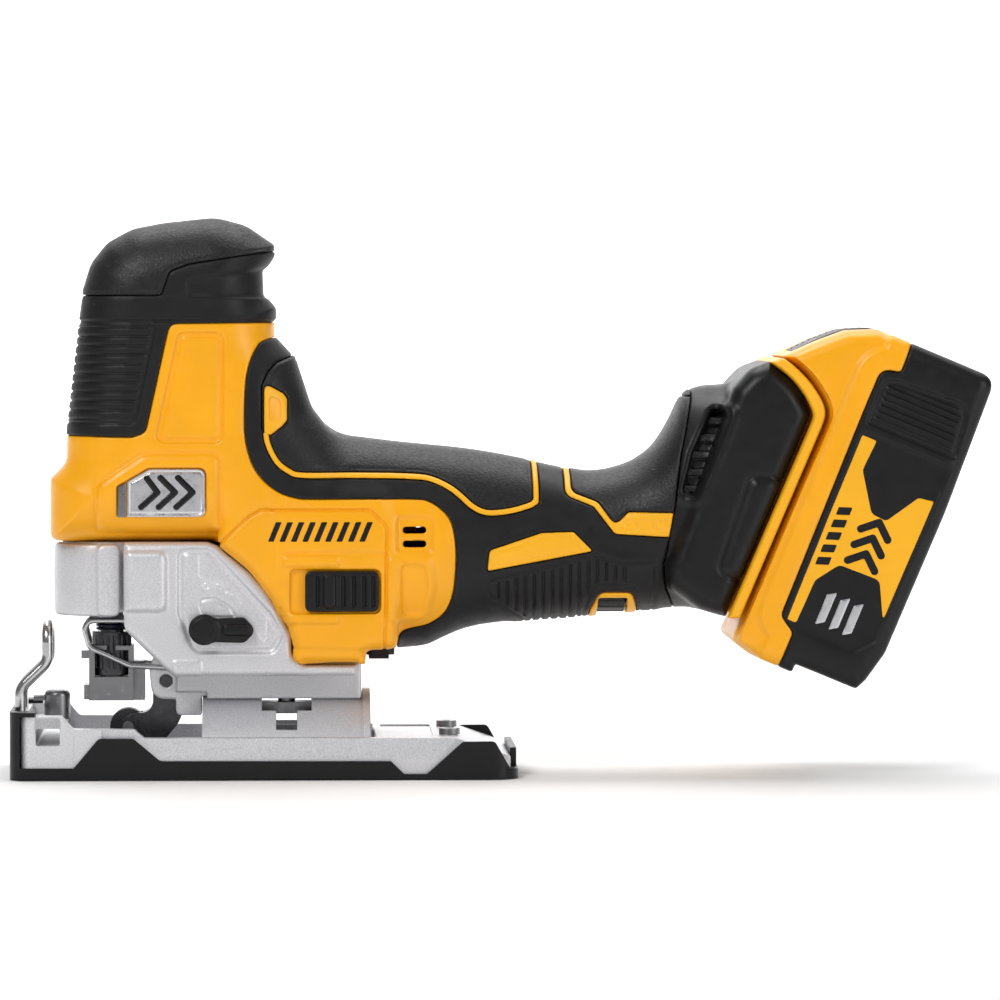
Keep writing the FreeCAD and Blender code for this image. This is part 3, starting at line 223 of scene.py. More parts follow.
# ---------------------------------------------------------------- meshes
def surface(grid, field, adaptivity):
    """Points, triangles and quads of a field's zero surface."""
    shape = np.broadcast_shapes(field.shape, (grid.x.shape[0], grid.y.shape[1], grid.z.shape[2]))
    field = np.broadcast_to(field, shape)
    band = 2.0 * grid.step
    near = field < band
    spans, low = [], grid.low.copy()
    for axis in range(3):
        rows = np.flatnonzero(near.any(axis=tuple(a for a in range(3) if a != axis)))
        start = max(rows[0] - 2, 0)
        if axis == 1 and grid.mirror and grid.low[1] == 0:
            start = 0
        spans.append(slice(start, rows[-1] + 3))
        low[axis] += start * grid.step
    field = np.clip(field[tuple(spans)], -band, band)
    if grid.mirror and grid.low[1] == 0:
        low[1] = -(field.shape[1] - 1) * grid.step
        field = np.concatenate([field[:, :0:-1], field], axis=1)
    pad = 1
    field = np.pad(field, pad, constant_values=band).astype(np.float32)
    volume = vdb.FloatGrid(band)
    volume.copyFromArray(np.ascontiguousarray(field))
    points, triangles, quads = volume.convertToPolygons(isovalue=0.0, adaptivity=adaptivity)
    points = (points - pad) * grid.step + low
    if grid.mirror and grid.low[1] > 0:
        count = len(points)
        points = np.concatenate([points, points * (1, -1, 1)])
        triangles = np.concatenate([triangles, triangles[:, ::-1] + count])
        quads = np.concatenate([quads, quads[:, ::-1] + count])
    return points, triangles, quads


def piece(name, grid, field, material, body="root", replaces=(), adaptivity=0.02, place=None):
    """Meshes a field and makes it a piece that rides on a body and stands for CAD nodes."""
    points, triangles, quads = surface(grid, field, adaptivity)
    mesh = bpy.data.meshes.new(name)
    mesh.vertices.add(len(points))
    mesh.vertices.foreach_set("co", (points * MM).astype(np.float32).ravel())
    corners = np.concatenate([quads.ravel(), triangles.ravel()]).astype(np.int32)
    mesh.loops.add(len(corners))
    mesh.loops.foreach_set("vertex_index", corners)
    starts = [np.arange(len(quads)) * 4, len(quads) * 4 + np.arange(len(triangles)) * 3]
    starts = np.concatenate(starts).astype(np.int32)
    mesh.polygons.add(len(starts))
    mesh.polygons.foreach_set("loop_start", starts)
    mesh.polygons.foreach_set("use_smooth", np.ones(len(starts), bool))
    mesh.update(calc_edges=True)
    mesh.validate()
    if place is not None:
        mesh.transform(place)
    obj = bpy.data.objects.new(name, mesh)
    bpy.context.scene.collection.objects.link(obj)
    mesh.materials.append(MATERIALS[material])
    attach(obj, body)
    if replaces:
        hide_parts(*replaces)
    return obj


# ---------------------------------------------------------------- materials
def linear(red, green, blue):
    """A colour from its 0-255 display values."""
    shares = [value / 255 for value in (red, green, blue)]
    return tuple(s / 12.92 if s < 0.04045 else ((s + 0.055) / 1.055) ** 2.4 for s in shares) + (1.0,)


class Finish:
    """A node material under construction, with object coordinates for its textures."""

    def __init__(self, name):
        self.material = bpy.data.materials.new(name)
        self.material.use_nodes = True
        self.nodes = self.material.node_tree.nodes
        self.links = self.material.node_tree.links
        self.shader = self.nodes["Principled BSDF"]
        self.coords = self.add("ShaderNodeTexCoord").outputs["Object"]
        soft = self.add("ShaderNodeBevel", samples=4)
        soft.inputs["Radius"].default_value = 0.0004
        self.links.new(soft.outputs["Normal"], self.shader.inputs["Normal"])

    def add(self, kind, **settings):
        node = self.nodes.new(kind)
        for key, value in settings.items():
            setattr(node, key, value)
        return node

    def noise(self, size, detail=3.0, stretch=None):
        """Noise whose features are about size metres across."""
        node = self.add("ShaderNodeTexNoise")
        node.inputs["Scale"].default_value = 1.0 / size
        node.inputs["Detail"].default_value = detail
        source = self.coords
        if stretch:
            mapping = self.add("ShaderNodeMapping")
            mapping.inputs["Scale"].default_value = stretch
            self.links.new(source, mapping.inputs["Vector"])
            source = mapping.outputs["Vector"]
        self.links.new(source, node.inputs["Vector"])
        return node.outputs["Fac"]

    def cells(self, size):
        """Smooth rounded cells about size metres across, as of leather or spark erosion."""
        node = self.add("ShaderNodeTexVoronoi", feature="SMOOTH_F1")
        node.inputs["Scale"].default_value = 1.0 / size
        node.inputs["Smoothness"].default_value = 0.6
        self.links.new(self.coords, node.inputs["Vector"])
        return node.outputs["Distance"]

    def span(self, value, low, high, start=0.3, end=0.7):
        """Maps a texture's value onto low to high."""
        node = self.add("ShaderNodeMapRange")
        node.inputs["From Min"].default_value = start
        node.inputs["From Max"].default_value = end
        node.inputs["To Min"].default_value = low
        node.inputs["To Max"].default_value = high
        self.links.new(value, node.inputs["Value"])
        return node.outputs["Result"]

    def colours(self, value, first, second, start=0.3, end=0.7):
        node = self.add("ShaderNodeValToRGB")
        node.color_ramp.elements[0].position = start
        node.color_ramp.elements[0].color = first
        node.color_ramp.elements[1].position = end
        node.color_ramp.elements[1].color = second
        self.links.new(value, node.inputs["Fac"])
        self.links.new(node.outputs["Color"], self.shader.inputs["Base Color"])

    def bump(self, value, height, strength=1.0):
        """Adds relief of that height in metres to what is there already."""
        node = self.add("ShaderNodeBump")
        node.inputs["Strength"].default_value = strength
        node.inputs["Distance"].default_value = height
        self.links.new(value, node.inputs["Height"])
        if self.shader.inputs["Normal"].is_linked:
            earlier = self.shader.inputs["Normal"].links[0].from_socket
            self.links.new(earlier, node.inputs["Normal"])
        self.links.new(node.outputs["Normal"], self.shader.inputs["Normal"])

    def rough(self, value, low, high):
        self.links.new(self.span(value, low, high), self.shader.inputs["Roughness"])

    def set(self, **values):
        for key, value in values.items():
            self.shader.inputs[key.replace("_", " ")].default_value = value


def darker(colour, share):
    """That share of a colour's brightness."""
    return tuple(c * share for c in colour[:3]) + (1.0,)


def moulded(name, colour, roughness, grain=0.00035, relief=0.00002, shade=0.93, ior=1.48):
    """Moulded plastic: a fine eroded grain, a little cloudiness and faint handling marks."""
    finish = Finish(name)
    finish.colours(finish.noise(0.02), darker(colour, shade), colour)
    finish.rough(finish.noise(0.004, 5.0), roughness - 0.06, roughness + 0.08)
    finish.bump(finish.noise(grain, 2.0), relief, 0.7)
    finish.bump(finish.noise(0.006, 2.0), 0.00004, 0.35)
    finish.set(IOR=ior)
    return finish.material


def textured_rubber(name, colour, cell, relief, roughness):
    """Soft overmould with a leather-like pebble."""
    finish = Finish(name)
    pebble = finish.cells(cell)
    finish.colours(finish.noise(0.01, 4.0), darker(colour, 0.75), colour)
    finish.rough(finish.noise(0.0012, 4.0), roughness - 0.07, roughness + 0.1)
    finish.bump(pebble, relief, 0.9)
    finish.bump(finish.noise(cell * 0.35, 3.0), relief * 0.3, 0.6)
    finish.set(IOR=1.4)
    return finish.material


def cast_metal(name, colour, roughness, speckle=0.0004):
    """Painted die casting: a fine metallic speckle over a slightly uneven skin."""
    finish = Finish(name)
    grain = finish.noise(speckle, 4.0)
    finish.colours(grain, darker(colour, 0.80), colour, 0.35, 0.62)
    finish.rough(finish.noise(0.0009, 4.0), roughness - 0.08, roughness + 0.1)
    finish.bump(finish.noise(speckle * 1.4, 3.0), 0.00004, 0.8)
    finish.bump(finish.noise(0.005, 3.0), 0.00006, 0.4)
    finish.set(Metallic=0.45)
    return finish.material


def turned_metal(name, colour, roughness, stretch=(1, 1, 12), scratch=0.0006):
    """Machined or drawn metal with fine marks along the tool path."""
    finish = Finish(name)
    marks = finish.noise(scratch, 4.0, stretch)
    finish.colours(marks, darker(colour, 0.72), colour, 0.3, 0.7)
    finish.rough(finish.noise(0.0025, 4.0), roughness - 0.07, roughness + 0.12)
    finish.bump(marks, 0.00001, 0.5)
    finish.set(Metallic=1.0)
    return finish.material


def copper_winding(name):
    finish = Finish(name)
    strands = finish.add("ShaderNodeTexWave", wave_type="BANDS", bands_direction="DIAGONAL")
    strands.inputs["Scale"].default_value = 900.0
    strands.inputs["Distortion"].default_value = 1.5
    finish.links.new(finish.coords, strands.inputs["Vector"])
    finish.colours(strands.outputs["Fac"], linear(94, 40, 14), linear(196, 104, 48), 0.2, 0.8)
    finish.rough(finish.noise(0.002), 0.25, 0.4)
    finish.bump(strands.outputs["Fac"], 0.0002, 0.8)
    finish.set(Metallic=0.9)
    return finish.material


def clear_lens(name):
    finish = Finish(name)
    finish.colours(finish.noise(0.002), (0.85, 0.88, 0.92, 1), (0.95, 0.97, 1.0, 1))
    finish.rough(finish.noise(0.001), 0.05, 0.15)
    finish.bump(finish.cells(0.0008), 0.0001, 0.5)
    finish.set(Transmission_Weight=0.7, IOR=1.49)
    return finish.material


YELLOW = linear(250, 172, 6)
RUBBER = linear(27, 27, 29)
FINISHES = {
    "housing_yellow": (moulded, YELLOW, 0.34),
    "trim_yellow": (moulded, linear(250, 180, 20), 0.38),
    "grip_rubber": (moulded, linear(23, 23, 25), 0.46, 0.00045, 0.00004, 0.8, 1.36),
    "pad_rubber": (textured_rubber, RUBBER, 0.0008, 0.00009, 0.44),
    "black_plastic": (moulded, linear(21, 21, 23), 0.38, 0.0004, 0.00003, 0.8, 1.36),
    "gloss_black": (moulded, linear(14, 14, 15), 0.22, 0.0008, 0.00001, 0.8),
    "cast_aluminium": (cast_metal, linear(220, 220, 224), 0.42),
    "plate_aluminium": (cast_metal, linear(226, 226, 230), 0.38, 0.0005),
    "badge_silver": (turned_metal, linear(228, 228, 232), 0.3, (12, 1, 1), 0.0005),
    "bright_wire": (turned_metal, linear(214, 214, 214), 0.16),
    "steel": (turned_metal, linear(150, 150, 152), 0.32),
    "hardened_steel": (turned_metal, linear(86, 86, 88), 0.3),
    "lamination": (turned_metal, linear(120, 122, 126), 0.42, (40, 1, 1), 0.004),
    "sintered_steel": (cast_metal, linear(120, 118, 114), 0.5, 0.0003),
    "winding": (copper_winding,),
    "bronze": (turned_metal, linear(176, 128, 62), 0.35),
    "lens": (clear_lens,),
    "circuit": (moulded, linear(22, 76, 48), 0.3),
    "cell_metal": (turned_metal, linear(88, 132, 176), 0.3),
    "blued_spring": (turned_metal, linear(50, 54, 66), 0.28),
}
MATERIALS = {name: make(name, *details) for name, (make, *details) in FINISHES.items()}


# ---------------------------------------------------------------- camera, light, floor
def make_camera():
    camera = bpy.data.cameras.new("camera")
    camera.sensor_width = 36.0
    camera.lens = 207.6
    holder = bpy.data.objects.new("camera", camera)
    holder.location = (0.06076, -2.0, 0.1647)
    aim = Vector((0.13715, 0.0, 0.09387))
    holder.rotation_euler = (aim - holder.location).to_track_quat("-Z", "Y").to_euler()
    bpy.context.scene.collection.objects.link(holder)
    bpy.context.scene.camera = holder


def make_light(name, place, aim, size, power):
    light = bpy.data.lights.new(name, "AREA")
    light.shape = "RECTANGLE"
    light.size, light.size_y = size
    light.energy = power
    holder = bpy.data.objects.new(name, light)
    holder.location = place
    holder.rotation_euler = (Vector(aim) - Vector(place)).to_track_quat("-Z", "Y").to_euler()
    bpy.context.scene.collection.objects.link(holder)


def make_studio():
    scene = bpy.context.scene
    scene.view_settings.view_transform = "Standard"
    world = bpy.data.worlds.new("studio")
    scene.world = world
    world.use_nodes = True
    world.node_tree.nodes["Background"].inputs["Color"].default_value = (1, 1, 1, 1)
    world.node_tree.nodes["Background"].inputs["Strength"].default_value = 0.2
    centre = (0.12, 0.0, 0.08)
    make_light("key", (-0.7, -1.2, 1.2), centre, (0.8, 0.6), 16.0)
    make_light("top", (0.25, 0.35, 1.4), centre, (1.6, 0.8), 16.0)
    make_light("fill", (1.3, -1.1, 0.45), centre, (0.5, 0.9), 6.5)
    make_light("backdrop_wash", (0.12, 1.3, 1.5), (0.12, 2.4, 0.1), (3.0, 0.6), 60.0)
    points, faces = [], []
    profile = [(-6.0, 0.0)] + [(1.2 + 1.5 * math.sin(a), 1.5 * (1 - math.cos(a)))
                               for a in np.linspace(0, math.pi / 2, 24)] + [(2.7, 6.0)]
    for y, z in profile:
        points += [(-6.0, y, z - 0.0003), (6.0, y, z - 0.0003)]
    for index in range(len(profile) - 1):
        faces.append((2 * index, 2 * index + 1, 2 * index + 3, 2 * index + 2))
    mesh = bpy.data.meshes.new("floor")
    mesh.from_pydata(points, [], faces)
    mesh.polygons.foreach_set("use_smooth", np.ones(len(faces), bool))
    finish = Finish("floor")
    finish.colours(finish.noise(0.3), (0.86, 0.86, 0.86, 1), (0.88, 0.88, 0.88, 1))
    finish.set(Roughness=0.9)
    mesh.materials.append(finish.material)
    floor = bpy.data.objects.new("floor", mesh)
    bpy.context.scene.collection.objects.link(floor)


# ---------------------------------------------------------------- the body's shape
HEAD_SIDE = [
    (-18.3, 80.4, 3.5), (-18.3, 101.8, 3.0), (-12.7, 107.4, 6.0), (-12.4, 118.0, 40.0),
    (-8.0, 156.0, 60.0), (-6.6, 166.0, 12.0), (-3.6, 175.6, 12.0), (2.0, 182.6, 10.0),
    (10.5, 187.2, 12.0), (21.0, 189.2, 20.0), (38.7, 191.1, 16.0), (49.0, 188.4, 14.0),
    (58.6, 181.8, 2.0), (58.9, 178.6, 1.5), (55.6, 173.6, 1.5), (56.0, 164.2, 1.0),
    (59.4, 160.4, 3.0), (59.0, 150.8, 2.0), (66.0, 143.2, 4.0), (71.6, 126.0, 12.0),
    (79.0, 116.4, 8.0), (86.0, 107.0), (84.0, 80.4),
]
MOTOR_SIDE = [
    (39.6, 79.2), (50.2, 70.6, 20.0), (62.5, 54.2, 14.0), (65.0, 46.0, 2.0),
    (65.2, 38.5, 5.0), (90.0, 38.5), (90.4, 43.4, 3.0), (101.2, 43.6, 4.0),
    (101.2, 100.0, 6.0), (58.0, 106.0), (39.6, 96.0),
]
BARREL_TOP = [
    (60, 119.5), (78, 117.0), (92, 115.2), (102, 114.0), (112, 113.0), (122, 112.0), (135, 110.1),
    (147, 107.7), (160, 105.0), (168, 103.9), (176, 105.0), (185, 108.7), (190.5, 113.4),
    (195.5, 121.3), (199.6, 129.6), (206, 133.4), (212, 134.0), (220, 134.6),
]
BARREL_FOOT = [
    (60, 42.0), (92, 42.8), (104, 43.0), (112, 44.1), (117, 46.4), (122, 48.6), (128, 50.4),
    (135, 51.5), (147, 52.6), (160, 53.5), (176, 55.2), (190, 56.2), (204, 56.6), (212, 55.6),
    (220, 54.4),
]
BARREL_WIDE = [
    (60, 29.4), (98, 29.3), (112, 28.8), (125, 28.0), (145, 26.6), (168, 25.6), (185, 26.6),
    (203, 28.8), (212, 29.4), (220, 30.0),
]


def barrel(grid, rear=208.0):
    """The hand grip: a slightly squared oval whose height and width change along X."""
    top = smooth_through(grid.x, BARREL_TOP)
    foot = smooth_through(grid.x, BARREL_FOOT)
    wide = smooth_through(grid.x, BARREL_WIDE)
    tall = (top - foot) / 2
    power = 2.35
    a = (grid.y / wide) ** power
    b = (np.abs(grid.z - (top + foot) / 2) / tall) ** power
    reach = (a + b) ** (1 / power) + 1e-6
    pull_a = a / np.maximum(grid.y, 0.05) / reach ** (power - 1)
    pull_b = b / np.maximum(np.abs(grid.z - (top + foot) / 2), 0.05) / reach ** (power - 1)
    shape = (reach - 1) / np.maximum(np.hypot(pull_a, pull_b), 0.02)
    return both(shape, grid.x - rear, 60.0 - grid.x)


def body_shape(grid):
    """The whole housing before any seam: head and knob, grip and motor cover."""
    head = slab(grid.side(HEAD_SIDE), grid.y, HEAD_HALF, 19.0, 19.0)
    edge = 4.0 + 10.0 * np.clip((grid.z - 84.0) / 20.0, 0, 1)
    motor = slab(grid.side(MOTOR_SIDE), grid.y, BODY_HALF, edge, edge)
    return soft_either(soft_either(head, barrel(grid), 5.0), motor, 3.0)


def layer(body, region, proud, edge=0.55, depth=0.8):
    """A skin piece that stands a little proud in its pocket in the body."""
    return both(round_both(body - proud, region + SEAM, edge), -(body + depth))


def underlay(body, region):
    """The thin rubber under every seam of a pocket."""
    return both(region + SEAM, body + 0.9, -(body + SKIN - 0.1))


def pocket(body, region, edge=0.45):
    """The body with the pocket for a skin piece taken out of it."""
    return round_both(body, np.minimum(SEAM - region, body + SKIN), edge)


FRONT_GRIP = [
    (-30.0, 117.3), (10.1, 116.4, 5.0), (15.0, 118.0, 4.0), (23.2, 155.2, 3.5), (70.0, 155.7),
    (70.0, 164.3), (-30.0, 164.3),
]
KNOB_PAD = [
    (-30.0, 164.9), (20.5, 164.9, 1.5), (23.2, 173.0, 4.0), (30.0, 175.6, 6.0), (70.0, 181.8),
    (70.0, 200.0), (-30.0, 200.0),
]
SLEEVE = curve([
    (59.4, 150.5), (54.4, 148.9), (51.5, 144.5), (49.9, 139.8), (49.0, 134.0), (48.7, 126.0),
    (48.8, 117.4), (50.0, 110.8), (52.3, 105.2), (56.0, 100.8), (60.9, 97.4), (66.5, 95.6),
    (72.0, 95.2), (90.0, 95.2), (106.6, 95.1), (111.0, 94.6), (115.0, 92.4), (118.4, 88.9),
    (120.2, 84.1), (121.0, 76.1), (120.4, 65.0), (118.6, 58.4), (115.6, 54.4), (110.9, 51.7),
    (105.4, 50.5), (102.6, 49.2), (101.5, 47.0), (101.2, 43.0),
]) + [(101.2, 30.0), (230.0, 30.0), (230.0, 160.0), (72.0, 152.6)]
PIPING = curve([
    (56.0, 117.4), (56.6, 114.4), (58.0, 111.0), (60.2, 107.6), (63.6, 105.0), (68.0, 103.5),
    (84.0, 103.3), (99.0, 103.1), (108.0, 102.7), (112.0, 102.1), (116.4, 100.4), (120.2, 98.2),
    (123.4, 95.5), (126.3, 92.9), (129.7, 91.0), (133.4, 90.4), (139.5, 91.0), (145.6, 92.6),
    (148.0, 93.9), (148.7, 96.8), (148.2, 120.0),
])
FRONT_PAD = PIPING + [
    (150.0, 130.0), (90.0, 150.0), (66.6, 145.8), (64.8, 144.0, 2.0), (59.6, 141.9, 4.0),
    (56.6, 138.6, 3.0), (54.6, 134.0), (54.6, 119.0),
]
REAR_PANEL = [
    (158.6, 130.0), (158.6, 96.2, 4.0), (168.4, 92.3, 4.0), (175.6, 82.9, 2.5), (195.0, 81.8, 2.0),
    (199.2, 91.0), (199.0, 95.0), (204.0, 130.0),
]
REAR_PAD = [
    (161.0, 134.0), (161.0, 97.4, 3.0), (170.0, 94.0, 4.0), (175.8, 86.0, 2.5), (180.2, 90.6, 2.0),
    (206.0, 90.3), (206.0, 140.0),
]
SIDE_BADGE = [
    (131.7, 70.3, 0.8), (132.4, 77.6, 2.0), (150.5, 83.6, 6.0), (161.5, 83.9, 1.0), (168.3, 77.1, 0.8),
]
RIB_PANEL = [
    (131.4, 66.4, 1.5), (133.0, 61.4, 2.0), (145.4, 53.0), (145.0, 49.0), (165.4, 49.0),
    (165.4, 56.0), (168.0, 64.0, 2.0), (172.0, 65.6, 3.0), (182.6, 65.6, 3.0), (185.6, 56.0),
    (186.0, 49.0), (189.4, 49.0), (189.6, 70.8, 2.0), (187.8, 73.0, 1.0), (177.6, 73.0, 3.0),
    (168.3, 75.8, 1.0),
]
SIDE_FRAME = [
    (129.6, 70.0, 3.0), (129.8, 79.4, 4.0), (150.0, 86.2, 8.0), (162.6, 86.4, 3.0), (170.6, 79.0, 4.0),
    (178.4, 75.6, 4.0), (190.6, 75.4, 3.0), (192.2, 71.0, 3.0), (192.0, 49.0), (143.6, 49.0),
    (131.0, 60.4, 4.0),
]
TAB = [
    (55.3, 135.2, 2.0), (62.1, 131.4, 2.0), (63.4, 129.5, 1.0), (63.4, 122.2, 1.0), (61.8, 120.3, 1.0),
    (57.6, 117.0, 1.0), (55.3, 118.0, 1.0),
]
DIAL_WINDOW = [(170.2, 50.0), (170.2, 60.8, 1.0), (180.6, 60.8, 1.0), (180.6, 50.0)]
DIAL_ARCH = [
    (167.2, 50.0), (167.8, 57.0, 3.0), (171.0, 62.7, 2.5), (181.8, 62.7, 2.5), (184.0, 57.0, 3.0),
    (184.5, 50.0),
]
BADGE_WINDOW = [
    (5.0, 88.9, 0.8), (5.0, 99.8, 0.8), (16.0, 106.1, 3.0), (35.7, 106.1, 3.0), (35.7, 88.9, 3.0),
]
BADGE_PLATE = [
    (8.6, 89.2, 0.5), (8.6, 101.5, 0.5), (16.1, 105.8, 3.0), (35.4, 105.8, 2.8), (35.4, 89.2, 2.8),
]
BADGE_RIM = [
    (-2.1, 83.4, 3.0), (-2.1, 100.4, 4.0), (13.8, 111.0, 5.0), (40.7, 111.0, 4.0), (40.7, 83.4, 3.0),
]
COVER_SEAM = [
    (39.2, 79.0), (49.7, 88.9, 3.0), (54.0, 91.5, 3.0), (91.5, 91.5, 4.0), (97.4, 86.0, 4.0),
    (96.6, 44.0),
]
COLUMN_FRAME = [(26.9, 151.6, 2.5), (40.9, 151.4, 2.5), (40.5, 115.2, 2.5), (18.9, 115.2, 2.5)]
SLIDER_RECESS = [(64.2, 56.0, 2.0), (95.2, 56.0, 2.5), (95.2, 71.2, 2.5), (64.2, 71.2, 2.0)]
REAR_FRAME = [
    (97.6, 53.0, 3.0), (97.6, 75.2, 3.0), (112.4, 75.2, 3.0), (114.2, 66.0, 4.0), (111.0, 53.0, 3.0),
]
REAR_INSET = [
    (102.4, 55.4, 2.0), (102.4, 72.8, 2.0), (110.4, 72.8, 2.0), (111.4, 64.0, 2.0), (109.0, 55.4, 2.0),
]
VENT_RECESS = four_sided((100.9, 113.0), (77.0, 89.0), 1.5)
FOOT_ZONE = [
    (205.2, 40.0), (193.4, 64.6, 4.0), (192.6, 72.0, 4.0), (196.2, 92.0, 8.0), (198.6, 110.0, 10.0),
    (203.6, 134.0, 4.0), (203.6, 160.0), (260.0, 160.0), (260.0, 40.0),
]
GRIP_PANEL = [
    (-30.0, 121.4), (11.2, 121.4, 2.0), (18.2, 153.8, 2.0), (16.6, 155.2, 1.0), (-30.0, 155.2),
]
LEDGES = [four_sided((62.0, 81.0), rows, 1.0) for rows in ((72.2, 75.4), (52.6, 56.0))]
COVER_FOOT = [(65.0, 44.6), (68.3, 39.1, 3.0), (86.9, 38.0), (91.0, 43.6)]


def head_region(grid):
    """All that the front grip and the knob cover."""
    return either(grid.side(FRONT_GRIP), KNOB_FOOT - grid.z)


def dial_room(grid):
    """The slot through the body that the speed wheel turns in."""
    return both(np.hypot(grid.y, grid.z - DIAL_Z) - 12.4, np.abs(grid.x - DIAL_X) - 5.2)


def housing_relief(grid):
    """Seams, frames and recesses pressed into the yellow housing."""
    column, rim, rear = grid.side(COLUMN_FRAME), grid.side(BADGE_RIM), grid.side(REAR_FRAME)
    relief = groove(grid.path(COVER_SEAM), 1.3, 1.0)
    relief = relief + groove(np.abs(column), 2.4, 0.9) + step_down(column, 0.5, 2.0)
    relief = relief + groove(np.abs(rim), 1.6, 0.5) - step_down(rim + 1.4, 0.9, 1.8)
    relief = relief - step_down(rear, 1.0, 1.8) + step_down(grid.side(REAR_INSET), 0.9, 1.0)
    relief = relief + step_down(grid.side(VENT_RECESS), 1.1, 1.4)
    relief = relief + step_down(grid.side(COVER_FOOT), 0.7, 1.4)
    relief = relief + groove(grid.path([(62.6, 76.6), (97.0, 76.6)]), 1.2, 0.5)
    for ledge in LEDGES:
        relief = relief - step_down(grid.side(ledge), 0.8, 1.2)
    return relief


def make_housing(grid, body):
    """The yellow clamshell, split down the middle, with pockets for its rubber."""
    shape = body + housing_relief(grid)
    for region in (head_region(grid), both(grid.side(SLEEVE), -grid.side(TAB))):
        shape = pocket(shape, region)
    window = both(grid.side(BADGE_WINDOW), BODY_HALF - 1.6 - grid.y)
    slider = both(grid.side(SLIDER_RECESS), BODY_HALF - 1.3 - grid.y)
    shape = round_both(round_both(shape, -window, 0.4), -slider, 0.6)
    for low in (78.7, 83.4):
        slot = grid.side(four_sided((102.8, 110.8), (low, low + 2.3), 1.1))
        shape = both(shape, -both(slot, 20.0 - grid.y))
    shape = both(shape, -(body + SHELL), -grid.side(DIAL_WINDOW), -dial_room(grid))
    foot = grid.side(FOOT_ZONE)
    plunger = both(np.hypot(grid.x - PLUNGER_X, grid.y) - 8.6, grid.z - 100.0)
    shape = both(shape, 0.1 - foot, -plunger)
    seam = round_both(shape, 0.06 - grid.y, 0.35)
    for side in ("left", "right"):
        half_piece("main_housing_" + side, grid, seam, "housing_yellow", side)


def half_piece(name, grid, field, material, side):
    """One clamshell half, meshed on the positive side and mirrored to the left if asked."""
    mirror = Matrix.Scale(-1, 4, (0, 1, 0)) if side == "left" else None
    grid.mirror = False
    obj = piece(name + "_shell", grid, field, material, replaces=(name,), place=mirror)
    grid.mirror = True
    if side == "left":
        obj.data.flip_normals()
    return obj


def make_head_grips():
    """Rubber over the front of the head, its collar and the knob."""
    grid = Grid((-20, 73), (0, 31), (111, 194), 0.36)
    body = body_shape(grid)
    panel, pad = grid.side(GRIP_PANEL), grid.side(KNOB_PAD)
    ribs = groove(between(grid.z - 125.7, 3.15), 1.15, 0.7) * np.clip(-(panel + 0.6) / 0.8, 0, 1)
    ribs = ribs + groove(np.abs(panel), 1.2, 0.6)
    collar = groove(np.abs(grid.z - 156.1), 1.2, 0.7)
    recess = grid.side([(29.4, 164.4, 1.5), (29.4, 170.2, 2.0), (80.0, 177.8), (80.0, 164.4)])
    head = head_region(grid)
    front = body + ribs + collar + step_down(recess, 1.0, 1.4)
    front = either(layer(front, both(head, -pad), 0.3), underlay(body, head))
    piece("front_grip_skin", grid, front, "grip_rubber", replaces=("front_grip",))
    lip = groove(np.abs(pad + 1.1), 0.9, 0.3)
    knob = layer(body + lip, pad, 0.6, 0.9)
    piece("knob_pad_skin", grid, knob, "pad_rubber", replaces=("knob_pad",))
    marks = [both(np.abs(grid.x - x) - half, np.abs(grid.y) - 3.4, 180.0 - grid.z)
             for x, half in ((22.6, 2.2), (28.4, 2.2), (33.4, 1.2))]
    piece("knob_top_marks", grid, layer(body, either(*marks), 0.75, 0.3, 0.0), "trim_yellow")


